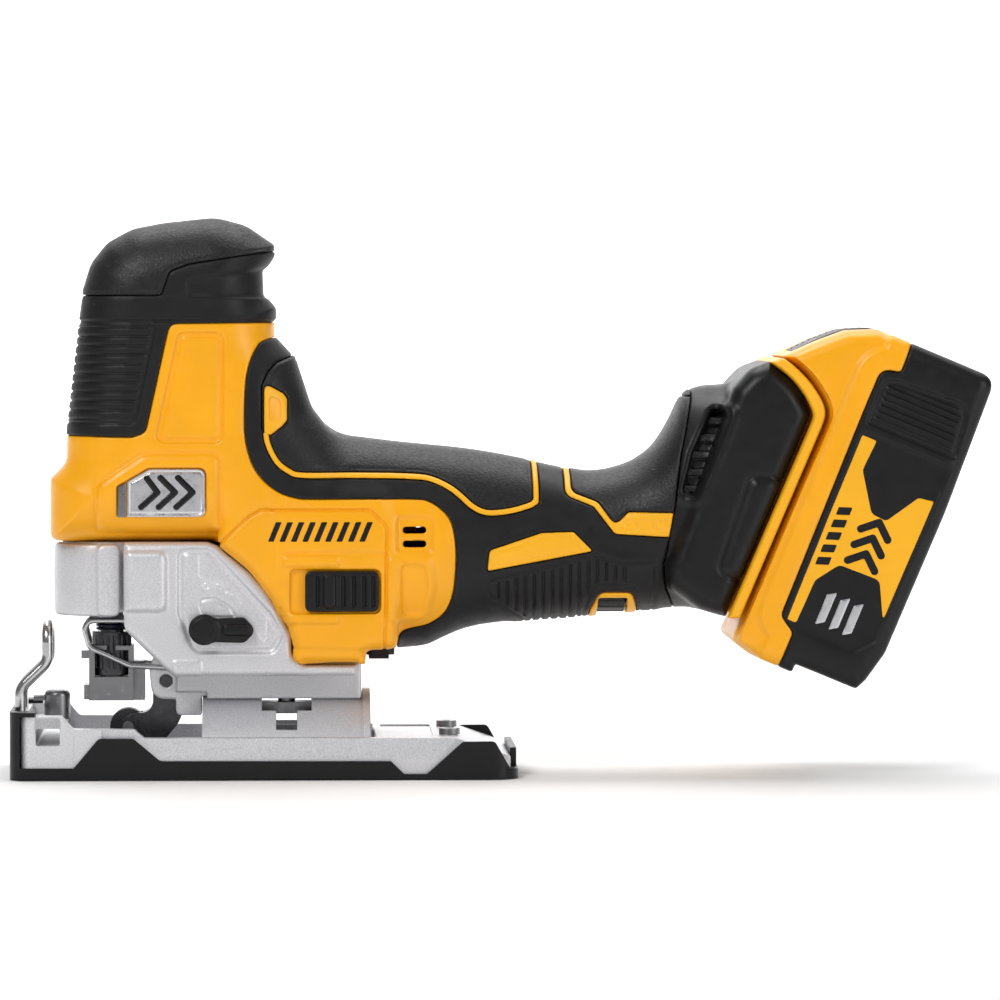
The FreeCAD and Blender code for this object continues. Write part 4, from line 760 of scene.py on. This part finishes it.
def make_handle_grips():
    """Rubber and yellow trim over the barrel."""
    grid = Grid((45, 207), (0, 31), (40, 153), 0.4)
    body = body_shape(grid)
    piping = grid.path(PIPING) - 1.05
    badge, tab, arch = grid.side(SIDE_BADGE), grid.side(TAB), grid.side(DIAL_ARCH)
    window, front_pad, rear_panel = grid.side(DIAL_WINDOW), grid.side(FRONT_PAD), grid.side(REAR_PANEL)
    dial = dial_room(grid)
    rear = 0.1 - grid.side(FOOT_ZONE)

    rib_panel = grid.side(RIB_PANEL)
    ribs = groove(between(grid.x - 135.6, 3.1), 1.2, 0.75)
    ribs = ribs * np.clip(-(rib_panel + 0.6) / 0.8, 0, 1) * (grid.x < 180.4)
    ribs = ribs + groove(np.abs(rib_panel), 1.0, 0.45) - step_down(grid.side(SIDE_FRAME), 0.5, 2.4)
    region = both(grid.side(SLEEVE), -front_pad, -rear_panel, -piping, -badge, -tab, -arch, rear)
    whole = both(grid.side(SLEEVE), -arch, -window, rear)
    sleeve = both(either(layer(body + ribs, region, 0.1), underlay(body, whole)), -dial)
    piece("handle_sleeve_skin", grid, sleeve, "grip_rubber", replaces=("handle_sleeve",))
    edge = groove(np.abs(front_pad + 2.2), 0.9, 0.25)
    pad = layer(body + edge, both(front_pad, -piping, -tab, grid.x - 148.4), 0.35, 0.7)
    piece("top_pad_front_skin", grid, pad, "pad_rubber", replaces=("top_pad_front",))
    rear_pad = grid.side(REAR_PAD)
    pad = layer(body, both(rear_pad, rear, rear_panel), 0.35, 0.7)
    piece("top_pad_rear_skin", grid, pad, "pad_rubber", replaces=("top_pad_rear",))
    windows = [grid.side(four_sided((x, x + 4.4), (84.5, 87.7), 0.8)) for x in (179.0, 184.3, 189.6)]
    panel = both(rear_panel, -rear_pad, rear)
    panel = layer(body + step_down(either(*windows), 0.5, 0.5), panel, 0.2)
    piece("rear_piping", grid, panel, "trim_yellow")
    line = layer(body, both(piping, grid.x - 150.2), 0.5, 0.6)
    piece("front_piping", grid, line, "trim_yellow")
    slot = grid.side([(57.4, 121.8, 1.0), (57.4, 130.4, 1.0), (60.8, 128.8, 1.0), (60.8, 122.4, 1.0)])
    piece("column_tab", grid, layer(body + step_down(slot, 1.2, 0.6), tab, 0.4), "trim_yellow")
    frame_line = groove(np.abs(badge + 1.4), 0.9, 0.3)
    skin = layer(body + frame_line - 0.5, badge, 0.3)
    piece("side_badge_skin", grid, skin, "trim_yellow", replaces=("side_badges",))
    bezel = both(layer(body - 0.3, arch, 0.6, 0.7), -window, -dial)
    piece("dial_bezel_skin", grid, bezel, "trim_yellow", replaces=("dial_bezel",))


def make_label_bars():
    """A row of black slanted bars on the housing, where a maker would print a name."""
    grid = Grid((52, 94), (BODY_HALF - 1.6, BODY_HALF + 1.6), (77, 91), 0.2)
    bars = []
    for index in range(9):
        low = 56.4 + 3.9 * index
        bars.append(grid.side(four_sided((low, low + 2.3), (80.6, 87.6), 0.4, lean_x=2.9)))
    print_field = layer(body_shape(grid), either(*bars), 0.12, 0.1, 0.5)
    piece("housing_bar_print", grid, print_field, "black_plastic")


def make_badges():
    """Silver plates in the side windows, with a made-up mark of nested chevrons."""
    grid = Grid((3, 38), (BODY_HALF - 2.5, BODY_HALF + 1.0), (86, 109), 0.2)
    plate = grid.side(BADGE_PLATE)
    inner = np.abs(plate + 1.2)
    chevrons = [grid.path([(x, 92.6), (x + 5.6, 97.6), end]) - 1.1
                for x, end in ((13.4, (15.4, 102.4)), (19.4, (20.0, 102.6)), (25.4, (26.0, 102.6)))]
    top = grid.y - (BODY_HALF - 0.75) + groove(inner, 0.7, 0.2)
    shape = both(round_both(plate, top, 0.3), BODY_HALF - 1.5 - grid.y)
    piece("side_emblem", grid, shape, "badge_silver", replaces=("badge_plates",))
    shape = round_both(either(*chevrons), np.abs(grid.y - BODY_HALF + 0.85) - 0.35, 0.2)
    piece("side_emblem_mark", grid, shape, "gloss_black")
    strip = grid.side([(5.2, 89.1, 0.4), (5.2, 99.6, 0.4), (8.3, 101.3, 0.4), (8.3, 89.1, 0.4)])
    shape = both(round_both(strip, grid.y - (BODY_HALF - 1.0), 0.3), BODY_HALF - 1.6 - grid.y)
    piece("side_emblem_edge", grid, shape, "steel")


# ---------------------------------------------------------------- gear case and front metal
CASE_SIDE = [
    (7.3, 80.3, 0.8), (7.3, 50.6, 6.0), (21.5, 36.7, 3.0), (24.8, 34.4, 4.0), (87.0, 34.4),
    (87.0, 38.2), (69.0, 38.2, 5.0), (64.7, 41.5, 3.0), (64.6, 48.4, 3.0), (56.8, 62.6, 10.0),
    (50.0, 70.4, 14.0), (39.4, 79.0, 4.0), (36.0, 80.3, 3.0),
]
CASE_BLOCK = [(7.6, 56.3, 2.0), (22.3, 56.3, 3.5), (22.3, 77.8, 3.5), (7.6, 77.8, 2.0)]
SELECTOR_PANEL = [
    (26.6, 56.0, 3.0), (26.6, 77.6, 3.0), (36.6, 77.6, 3.0), (57.2, 55.4, 4.0), (61.3, 48.5, 3.0),
    (58.0, 43.0, 3.0), (31.5, 43.0, 4.0),
]
SELECTOR_LEAF = [
    (34.6, 54.6, 1.0), (32.8, 60.6, 3.0), (38.0, 61.2, 3.0), (43.6, 58.2, 3.0), (45.6, 54.6, 1.0),
]
ORBIT_STEPS = [(35.4, 65.8), (39.6, 65.6), (43.4, 63.4)]
ORBIT_LINES = [
    [(33.4, 76.0), (33.4, 68.6)],
    [(39.6, 65.0), (43.4, 63.4), (47.0, 60.0)],
    [(56.4, 53.6), (56.4, 49.0), (55.0, 46.6), (53.6, 49.0)],
]
CASE_FOOT = [(24.8, 20.0, 2.0), (88.8, 20.0, 1.0), (88.8, 38.4), (24.8, 38.4)]
CASE_EAR = [
    (15.6, 36.5, 2.0), (16.6, 25.6, 5.0), (26.0, 25.4, 2.0), (31.0, 30.0), (30.0, 40.0), (17.0, 40.0),
]
CASE_INSIDE = [
    (18.5, 78.0), (18.5, 50.0, 3.0), (27.0, 42.0, 4.0), (61.6, 42.0, 3.0), (60.0, 47.6, 6.0),
    (45.0, 67.6, 10.0), (36.6, 75.6),
]
SELECTOR_HANDLE = [
    (34.8, 46.4, 2.0), (48.6, 46.0, 3.0), (52.7, 50.2, 3.5), (48.6, 54.9, 3.0), (34.8, 54.4, 2.0),
]


def make_gear_case():
    """The silver casting, hollow for the clamp, the orbital arm and the selector's shaft."""
    grid = Grid((-16, 90), (0, 28.5), (18, 82), 0.4)
    case = slab(grid.side(CASE_SIDE), grid.y, CASE_HALF, 2.4, 2.4)
    panel = grid.side(SELECTOR_PANEL)
    relief = groove(np.abs(panel), 2.4, 0.9) + step_down(panel, 0.5, 1.4)
    relief = relief + groove(np.abs(grid.side(SELECTOR_LEAF)), 1.2, 0.5)
    guard_boss = grid.side([(24.0, 34.6, 1.0), (24.0, 40.0, 1.5), (34.0, 40.0, 1.5), (34.0, 34.6, 1.0)])
    relief = relief - step_down(guard_boss, 0.5, 0.8)
    for x, z in ORBIT_STEPS:
        relief = relief + groove(np.abs(grid.disc(x, z, 1.0)), 0.9, 0.4)
    for path in ORBIT_LINES:
        relief = relief + groove(grid.path(path), 0.9, 0.4)
    on_face = np.clip((grid.y - 22.0) / 2.0, 0, 1)
    case = case + relief * on_face
    block = slab(grid.side(CASE_BLOCK), grid.y, CASE_HALF + 1.9, 3.0, 2.6)
    case = soft_either(case, block, 1.0)
    radial = np.hypot(grid.x - PLUNGER_X, grid.y)
    nose = both(radial - 17.0, np.abs(grid.z - 68.1) - 12.1)
    bridge = grid.box((2.5, 20.0), (-1, 17.0), (56.0, 80.2))
    case = either(case, nose, bridge)
    foot = slab(grid.side(CASE_FOOT), grid.y, 12.0, 1.2, 1.2)
    ear = slab(grid.side(CASE_EAR), grid.y, 9.6, 0.8, 0.8)
    axis = np.hypot(grid.y, grid.z)
    case = round_both(case, TILT_CLEAR_R + 0.2 - axis, 1.0)
    saddle_room = both(axis - SADDLE_R - 0.4, 33.6 - grid.x)
    case = both(either(case, both(foot, -saddle_room), ear))
    clamp_room = both(radial - 13.5, grid.z - 79.4)
    arm_room = grid.box((10.0, 32.5), (-1, 6.1), (10.0, 40.5))
    wheel_room = grid.box((24.7, 35.5), (9.7, 40), (10.0, 28.2))
    shaft = both(grid.disc(*SELECTOR, 4.1), 22.0 - grid.y)
    inside = slab(grid.side(CASE_INSIDE), grid.y, 22.4, 1.0, 1.0)
    pin = grid.disc(21.4, 31.9, 2.05)
    bolt = np.hypot(grid.x - 63.0, grid.y) - 3.1
    lever_room = grid.box((53.0, 95.0), (-1, 12.1), (38.4, 45.0))
    case = both(case, -clamp_room, -arm_room, -wheel_room, -shaft, -inside, -pin, -bolt, -lever_room)
    light = np.hypot(grid.y, grid.z - 47.0)
    snoot = both(light - 4.0, np.abs(grid.x - 18.3) - 2.1)
    beam = both(light - 2.4, np.abs(grid.x - 18.5) - 8.5)
    case = both(either(case, both(snoot, -clamp_room)), -beam)
    piece("gear_case_casting", grid, case, "cast_aluminium", replaces=("gear_case",), adaptivity=0.01)


def make_release_lever():
    """The curved blade-release lever round the nose, with its thumb rib."""
    grid = Grid((-19.5, 8.5), (-24.0, 21.5), (52, 82), 0.4, mirror=False)
    across, along = grid.y, grid.x - PLUNGER_X
    radial = np.hypot(along, across)
    angle = np.degrees(np.arctan2(across, along)) % 360
    arc = np.maximum(150.0 - angle, angle - 276.0) * np.pi / 180 * 18.7
    ends = np.maximum(arc, np.maximum(54.6 - grid.z, grid.z - 79.5))
    tall = np.abs(grid.z - 67.05) - 12.45
    corner = np.hypot(np.maximum(arc + 2.5, 0), np.maximum(tall + 2.5, 0)) - 2.5
    ends = np.maximum(ends, corner)
    wall = np.maximum(radial - 20.0, 17.4 - radial)
    swell = 0.35 * np.clip(1 - ((grid.z - 67) / 11.5) ** 4, 0, 1)
    shell = round_both(wall + 0.35 - swell, ends, 1.2)
    rib_wide = np.maximum(np.abs(grid.x - 2.0) - 1.6, 0)
    rib_tall = np.maximum(np.abs(grid.z - 67.1) - 10.0, 0)
    rib = round_both(np.hypot(rib_wide, rib_tall) - 2.3, np.maximum(-22.2 - grid.y, grid.y + 17.6), 1.2)
    piece("release_lever_casting", grid, soft_either(shell, rib, 1.2), "cast_aluminium",
          body="lever", replaces=("release_lever",))


def make_selector():
    """The orbital selector's knob, on the tool's left side."""
    grid = Grid((26, 56), (-31.0, -25.6), (42, 58), 0.25, mirror=False)
    out = -grid.y
    knob = round_both(grid.disc(*SELECTOR, 5.3), np.maximum(out - 29.6, 26.4 - out), 0.8)
    knob = knob + groove(np.abs(grid.disc(*SELECTOR, 4.3)), 0.6, 0.3) * np.clip((out - 28) / 1.0, 0, 1)
    handle = round_both(grid.side(SELECTOR_HANDLE), np.maximum(out - 29.0, 26.4 - out), 1.0)
    ridge = grid.side([(41.2, 48.7, 1.6), (50.4, 48.7, 1.8), (50.4, 52.4, 1.8), (41.2, 52.4, 1.6)])
    ridge = round_both(ridge, np.maximum(out - 30.3, 27.4 - out), 0.8)
    shape = soft_either(soft_either(knob, handle, 0.8), ridge, 0.4)
    piece("orbit_selector_knob", grid, shape, "black_plastic", body="selector",
          replaces=("orbit_selector",))


def make_sliders():
    """The slide switch's cap on each side, with its grip lines and thumb rib."""
    grid = Grid((67, 97), (26.5, 33), (55, 73), 0.25)
    lines = 0
    for x in (73.6, 82.4, 86.0, 89.6, 92.6):
        lines = lines + groove(np.abs(grid.x - x), 1.5, 0.8) * (np.abs(grid.z - 63.65) < 5.2)
    plate_side = grid.side(four_sided((69.3, 94.6), (56.7, 70.6), 2.4))
    plate = round_both(plate_side, np.maximum(grid.y - BODY_HALF - 1.0, 28.2 - grid.y), 0.7)
    plate = plate + lines * (grid.y > 29.6)
    rib_side = grid.side(four_sided((75.6, 79.9), (58.0, 69.5), 1.6))
    rib = round_both(rib_side, np.maximum(grid.y - BODY_HALF - 2.5, 28.4 - grid.y), 1.0)
    piece("switch_slider_caps", grid, soft_either(plate, rib, 0.5), "black_plastic", body="switch",
          replaces=("switch_sliders",))


# ---------------------------------------------------------------- battery foot and pack
RING_INNER = curve([
    (228.4, 142.1), (233.0, 138.9), (237.2, 134.9), (240.4, 130.4), (242.6, 126.0), (243.1, 123.2),
    (241.7, 119.4),
])
RING_OUTER = curve([
    (232.7, 143.6), (237.4, 140.2), (241.6, 135.9), (244.8, 131.4), (246.7, 127.7), (247.3, 124.2),
    (246.1, 119.9),
])
RING_SIDE = RING_OUTER + [(218.1, 54.4), (213.8, 54.4)] + RING_INNER[::-1]
FOOT_SIDE = [
    (204.8, 57.0, 3.0), (194.2, 64.4, 5.0), (193.0, 72.0, 4.0), (216.0, 133.4, 5.0),
    (222.0, 139.8, 8.0),
] + RING_INNER + [(213.8, 54.4, 1.0)]
FOOT_PAD = [
    (221.6, 103.6, 4.0), (234.6, 101.8, 3.5), (219.4, 66.0, 4.0), (210.0, 70.0, 4.5),
]
FOOT_LOUVRE = [
    (198.6, 97.0, 2.0), (203.0, 96.4, 1.5), (214.4, 124.6, 2.0), (209.6, 126.2, 2.5), (202.2, 111.0, 8.0),
]


def tilted_place():
    """From the pack's own axes (x out of the seam, z along the slide) to the frame."""
    return (Matrix.Translation((PACK_FOOT[0] * MM, 0, PACK_FOOT[1] * MM))
            @ Matrix.Rotation(PACK_TILT, 4, "Y"))


def pack_local(grid):
    """The pack's own x and z of a grid's points in the side view."""
    dx, dz = grid.x - PACK_FOOT[0], grid.z - PACK_FOOT[1]
    cosine, sine = math.cos(PACK_TILT), math.sin(PACK_TILT)
    return dx * cosine - dz * sine, dx * sine + dz * cosine


def make_foot():
    """The black battery foot with its louvres, and the yellow rim over the pack's seam."""
    grid = Grid((190, 250), (0, 36), (50, 147), 0.4)
    seam_x, along = pack_local(grid)
    foot = slab(grid.side(FOOT_SIDE), grid.y, 33.0, 6.0, 8.0)
    foot = soft_either(foot, barrel(grid, 222.0), 2.5)
    pad, louvre = grid.side(FOOT_PAD), grid.side(FOOT_LOUVRE)
    relief = groove(np.abs(pad), 1.8, 0.5) - step_down(pad + 1.8, 1.1, 2.2)
    relief = relief - np.clip(1 - np.abs(louvre - 2.0) / 2.6, 0, 1) + step_down(louvre, 1.3, 0.9)
    slots = both(louvre + 0.5, 1.2 - between(grid.z, 5.8), -(foot + 3.4))
    rail_room = both(-seam_x - 8.8, grid.y - 22.7)
    shape = both(foot + relief, seam_x + 4.3, grid.side(FOOT_ZONE) + 0.1)
    shape = both(shape, -(foot + 4.4), -slots, -rail_room)
    piece("battery_foot_shell", grid, shape, "black_plastic", replaces=("battery_foot",))

    ring = slab(grid.side(RING_SIDE), grid.y, 35.2, 1.1, 2.6)
    hollow = both(grid.y - 30.0, -seam_x - 12.0, along - 79.0)
    piece("foot_trim_ring_skin", grid, both(ring, -hollow), "trim_yellow",
          replaces=("foot_trim_ring",))


PACK_TOP = [
    (24.0, -7.6), (46.4, -7.4, 2.0), (48.4, -3.0, 3.0), (51.0, 8.0, 12.0), (51.4, 60.0, 80.0),
    (49.6, 109.9, 6.0), (5.5, 109.9, 4.0), (-4.0, 105.5, 8.0), (-11.0, 99.0, 8.0),
]
PACK_SIDE = curve([
    (-20.4, 88.6), (-15.0, 87.4), (-9.4, 85.1), (-4.6, 82.0), (-1.3, 79.2), (0.7, 76.0), (1.2, 71.0),
    (0.9, 50.0),
]) + [(0.6, -8.0, 3.0), (9.0, -10.6, 4.0), (24.0, -10.6, 2.0)] + PACK_TOP + [(-17.6, 91.6, 4.0)]
PACK_WIDE = [
    (-30.0, 82.0), (-8.0, 74.0), (-8.0, -10.6), (24.0, -10.6, 2.0),
] + PACK_TOP + [(-30.0, 81.0)]
PACK_SPLIT = [
    (-40.0, -30.0), (18.3, -30.0), (18.4, 2.5, 2.5), (12.3, 6.4, 3.0), (11.3, 84.0, 30.0),
    (11.4, 97.2, 5.0), (18.0, 98.8, 1.5), (17.2, 130.0), (-40.0, 130.0),
]
BUTTON_TOP = [
    (-17.0, 92.2), (-11.0, 99.0, 8.0), (-4.0, 105.5, 8.0), (3.5, 109.2, 3.0), (6.4, 109.9),
    (6.4, 105.5), (-2.0, 102.2, 6.0), (-9.0, 96.4, 6.0), (-14.5, 90.6),
]
PACK_GRIP = [(13.8, 78.2, 1.5), (13.4, 95.4, 5.0), (44.6, 97.4, 6.0), (46.8, 78.2, 1.5)]
PACK_LABEL = [
    (14.6, 3.8, 3.0), (13.6, 75.4, 1.5), (46.6, 75.4, 1.5), (45.6, 10.0, 3.0), (40.0, 3.8, 4.0),
]
LABEL_YELLOW = [
    (14.4, 6.0, 1.0), (14.0, 74.0, 0.6), (19.4, 74.0, 0.6), (18.8, 63.0, 3.0), (27.4, 50.4, 3.0),
    (33.0, 50.0, 2.0), (40.2, 61.6, 2.0), (45.6, 62.4, 0.6), (45.2, 18.0, 0.6), (38.8, 30.4, 3.0),
    (24.0, 30.0, 3.0), (18.4, 22.0, 3.0), (18.0, 6.0, 1.0),
]


def pack_label(grid):
    """Chevrons and bars cut out of the label's yellow field, in place of any lettering."""
    marks = [grid.path([(26.0, u), (31.0, u + 4.4), (36.0, u)]) - 1.3 for u in (32.6, 38.4, 44.2)]
    for u in np.arange(27.0, 50.0, 4.6):
        marks.append(grid.side(four_sided((16.2, 20.6), (u, u + 2.8), 0.3, lean_z=1.6)))
    return either(*marks)


def make_pack():
    """The pack's yellow and black shells, the print on its sides and its release button."""
    grid = Grid((-23, 55), (0, 38.5), (-14, 113), 0.42)
    pack = slab(grid.side(PACK_WIDE), grid.y, PACK_HALF, 6.0, 5.0)
    pack = round_both(pack, grid.side(PACK_SIDE), 1.2)
    split = grid.side(PACK_SPLIT)
    pressed = [(x + BUTTON_PRESS[0], z + BUTTON_PRESS[1], *radius) for x, z, *radius in BUTTON_TOP]
    well = both(either(grid.side(BUTTON_TOP), grid.side(pressed)) - 0.5, grid.y - 15.0)
    upper = pack + step_down(split + 7.8, 1.5, 2.0) * np.clip((grid.y - 28) / 5.0, 0, 1)
    upper = round_both(upper, split + 0.1, 0.8)
    upper = both(upper, -(pack + 3.6), -well)
    bulk = grid.box((-8.0, 1.0), (-1, 22.0), (0.0, 84.0))
    rail = both(bulk, -grid.box((-5.8, -2.8), (19.2, 25.0), (-2.0, 90.0)))
    piece("pack_upper_skin", grid, either(upper, rail), "housing_yellow", body="battery",
          replaces=("pack_upper_shell",), place=tilted_place())

    grip, label = grid.side(PACK_GRIP), grid.side(PACK_LABEL)
    face = np.clip((grid.y - 33.0) / 2.0, 0, 1)
    inner = np.clip(-(grip + 1.6) / 0.8, 0, 1)
    relief = step_down(grip, 0.9, 0.8) - 0.8 * inner * (1 - groove(between(grid.z - 79.8, 2.25), 1.5, 1.0))
    relief = relief + step_down(label, 0.7, 0.6)
    end_ribs = groove(between(grid.y, 6.5), 1.5, 0.8)
    end_ribs = end_ribs * np.clip((grid.x - 47.0) / 2.0, 0, 1) * np.clip((grid.z - 66.0) / 2.0, 0, 1)
    lower = pack + relief * face + end_ribs * (grid.y < 27.0)
    lower = round_both(lower, -split + 0.1, 0.8)
    lower = both(lower, -(pack + 2.6), -well)
    piece("pack_lower_skin", grid, lower, "black_plastic", body="battery",
          replaces=("pack_lower_shell",), place=tilted_place())

    print_grid = Grid((12, 48), (PACK_HALF - 1.6, PACK_HALF), (2, 78), 0.22)
    layer_field = np.abs(print_grid.y - PACK_HALF + 0.75) - 0.3
    field = both(print_grid.side(LABEL_YELLOW), -pack_label(print_grid), layer_field)
    piece("pack_side_print", print_grid, field, "trim_yellow", body="battery", place=tilted_place())
    bars = [print_grid.side(four_sided((v, v + 3.0), (8.0, 19.0), 0.4, lean_z=2.0))
            for v in (24.0, 29.0, 34.0)]
    field = both(either(*bars), layer_field)
    piece("pack_side_bars", print_grid, field, "badge_silver", body="battery", place=tilted_place())

    button_grid = Grid((-20, 9), (0, 16), (88, 112), 0.3)
    button = slab(button_grid.side(BUTTON_TOP), button_grid.y, 14.4, 1.2, 1.2)
    ridge = button_grid.x * 0.64 + button_grid.z * 0.77
    lines = groove(between(ridge, 2.2), 1.0, 0.4) * (button_grid.y < 10.5)
    piece("pack_release_button_cap", button_grid, button + lines, "black_plastic", body="button",
          replaces=("pack_release_button",), place=tilted_place())


# ---------------------------------------------------------------- CAD nodes that stay
NODE_SLOTS = {part["node"]: part["material_slot"] for part in frame["record"]["subparts"]}


def dress_cad_nodes():
    """Gives every CAD node the finish of its material slot."""
    for name, node in frame["nodes"].items():
        slot = NODE_SLOTS[name]
        node.data.materials.clear()
        node.data.materials.append(MATERIALS[slot])


# ---------------------------------------------------------------- the whole tool
make_camera()
make_studio()
dress_cad_nodes()
body_grid = Grid((-22, 211), (0, 33), (36, 195))
body = body_shape(body_grid)
make_housing(body_grid, body)
make_head_grips()
make_handle_grips()
make_label_bars()
make_badges()
make_gear_case()
make_release_lever()
make_selector()
make_sliders()
make_foot()
make_pack()
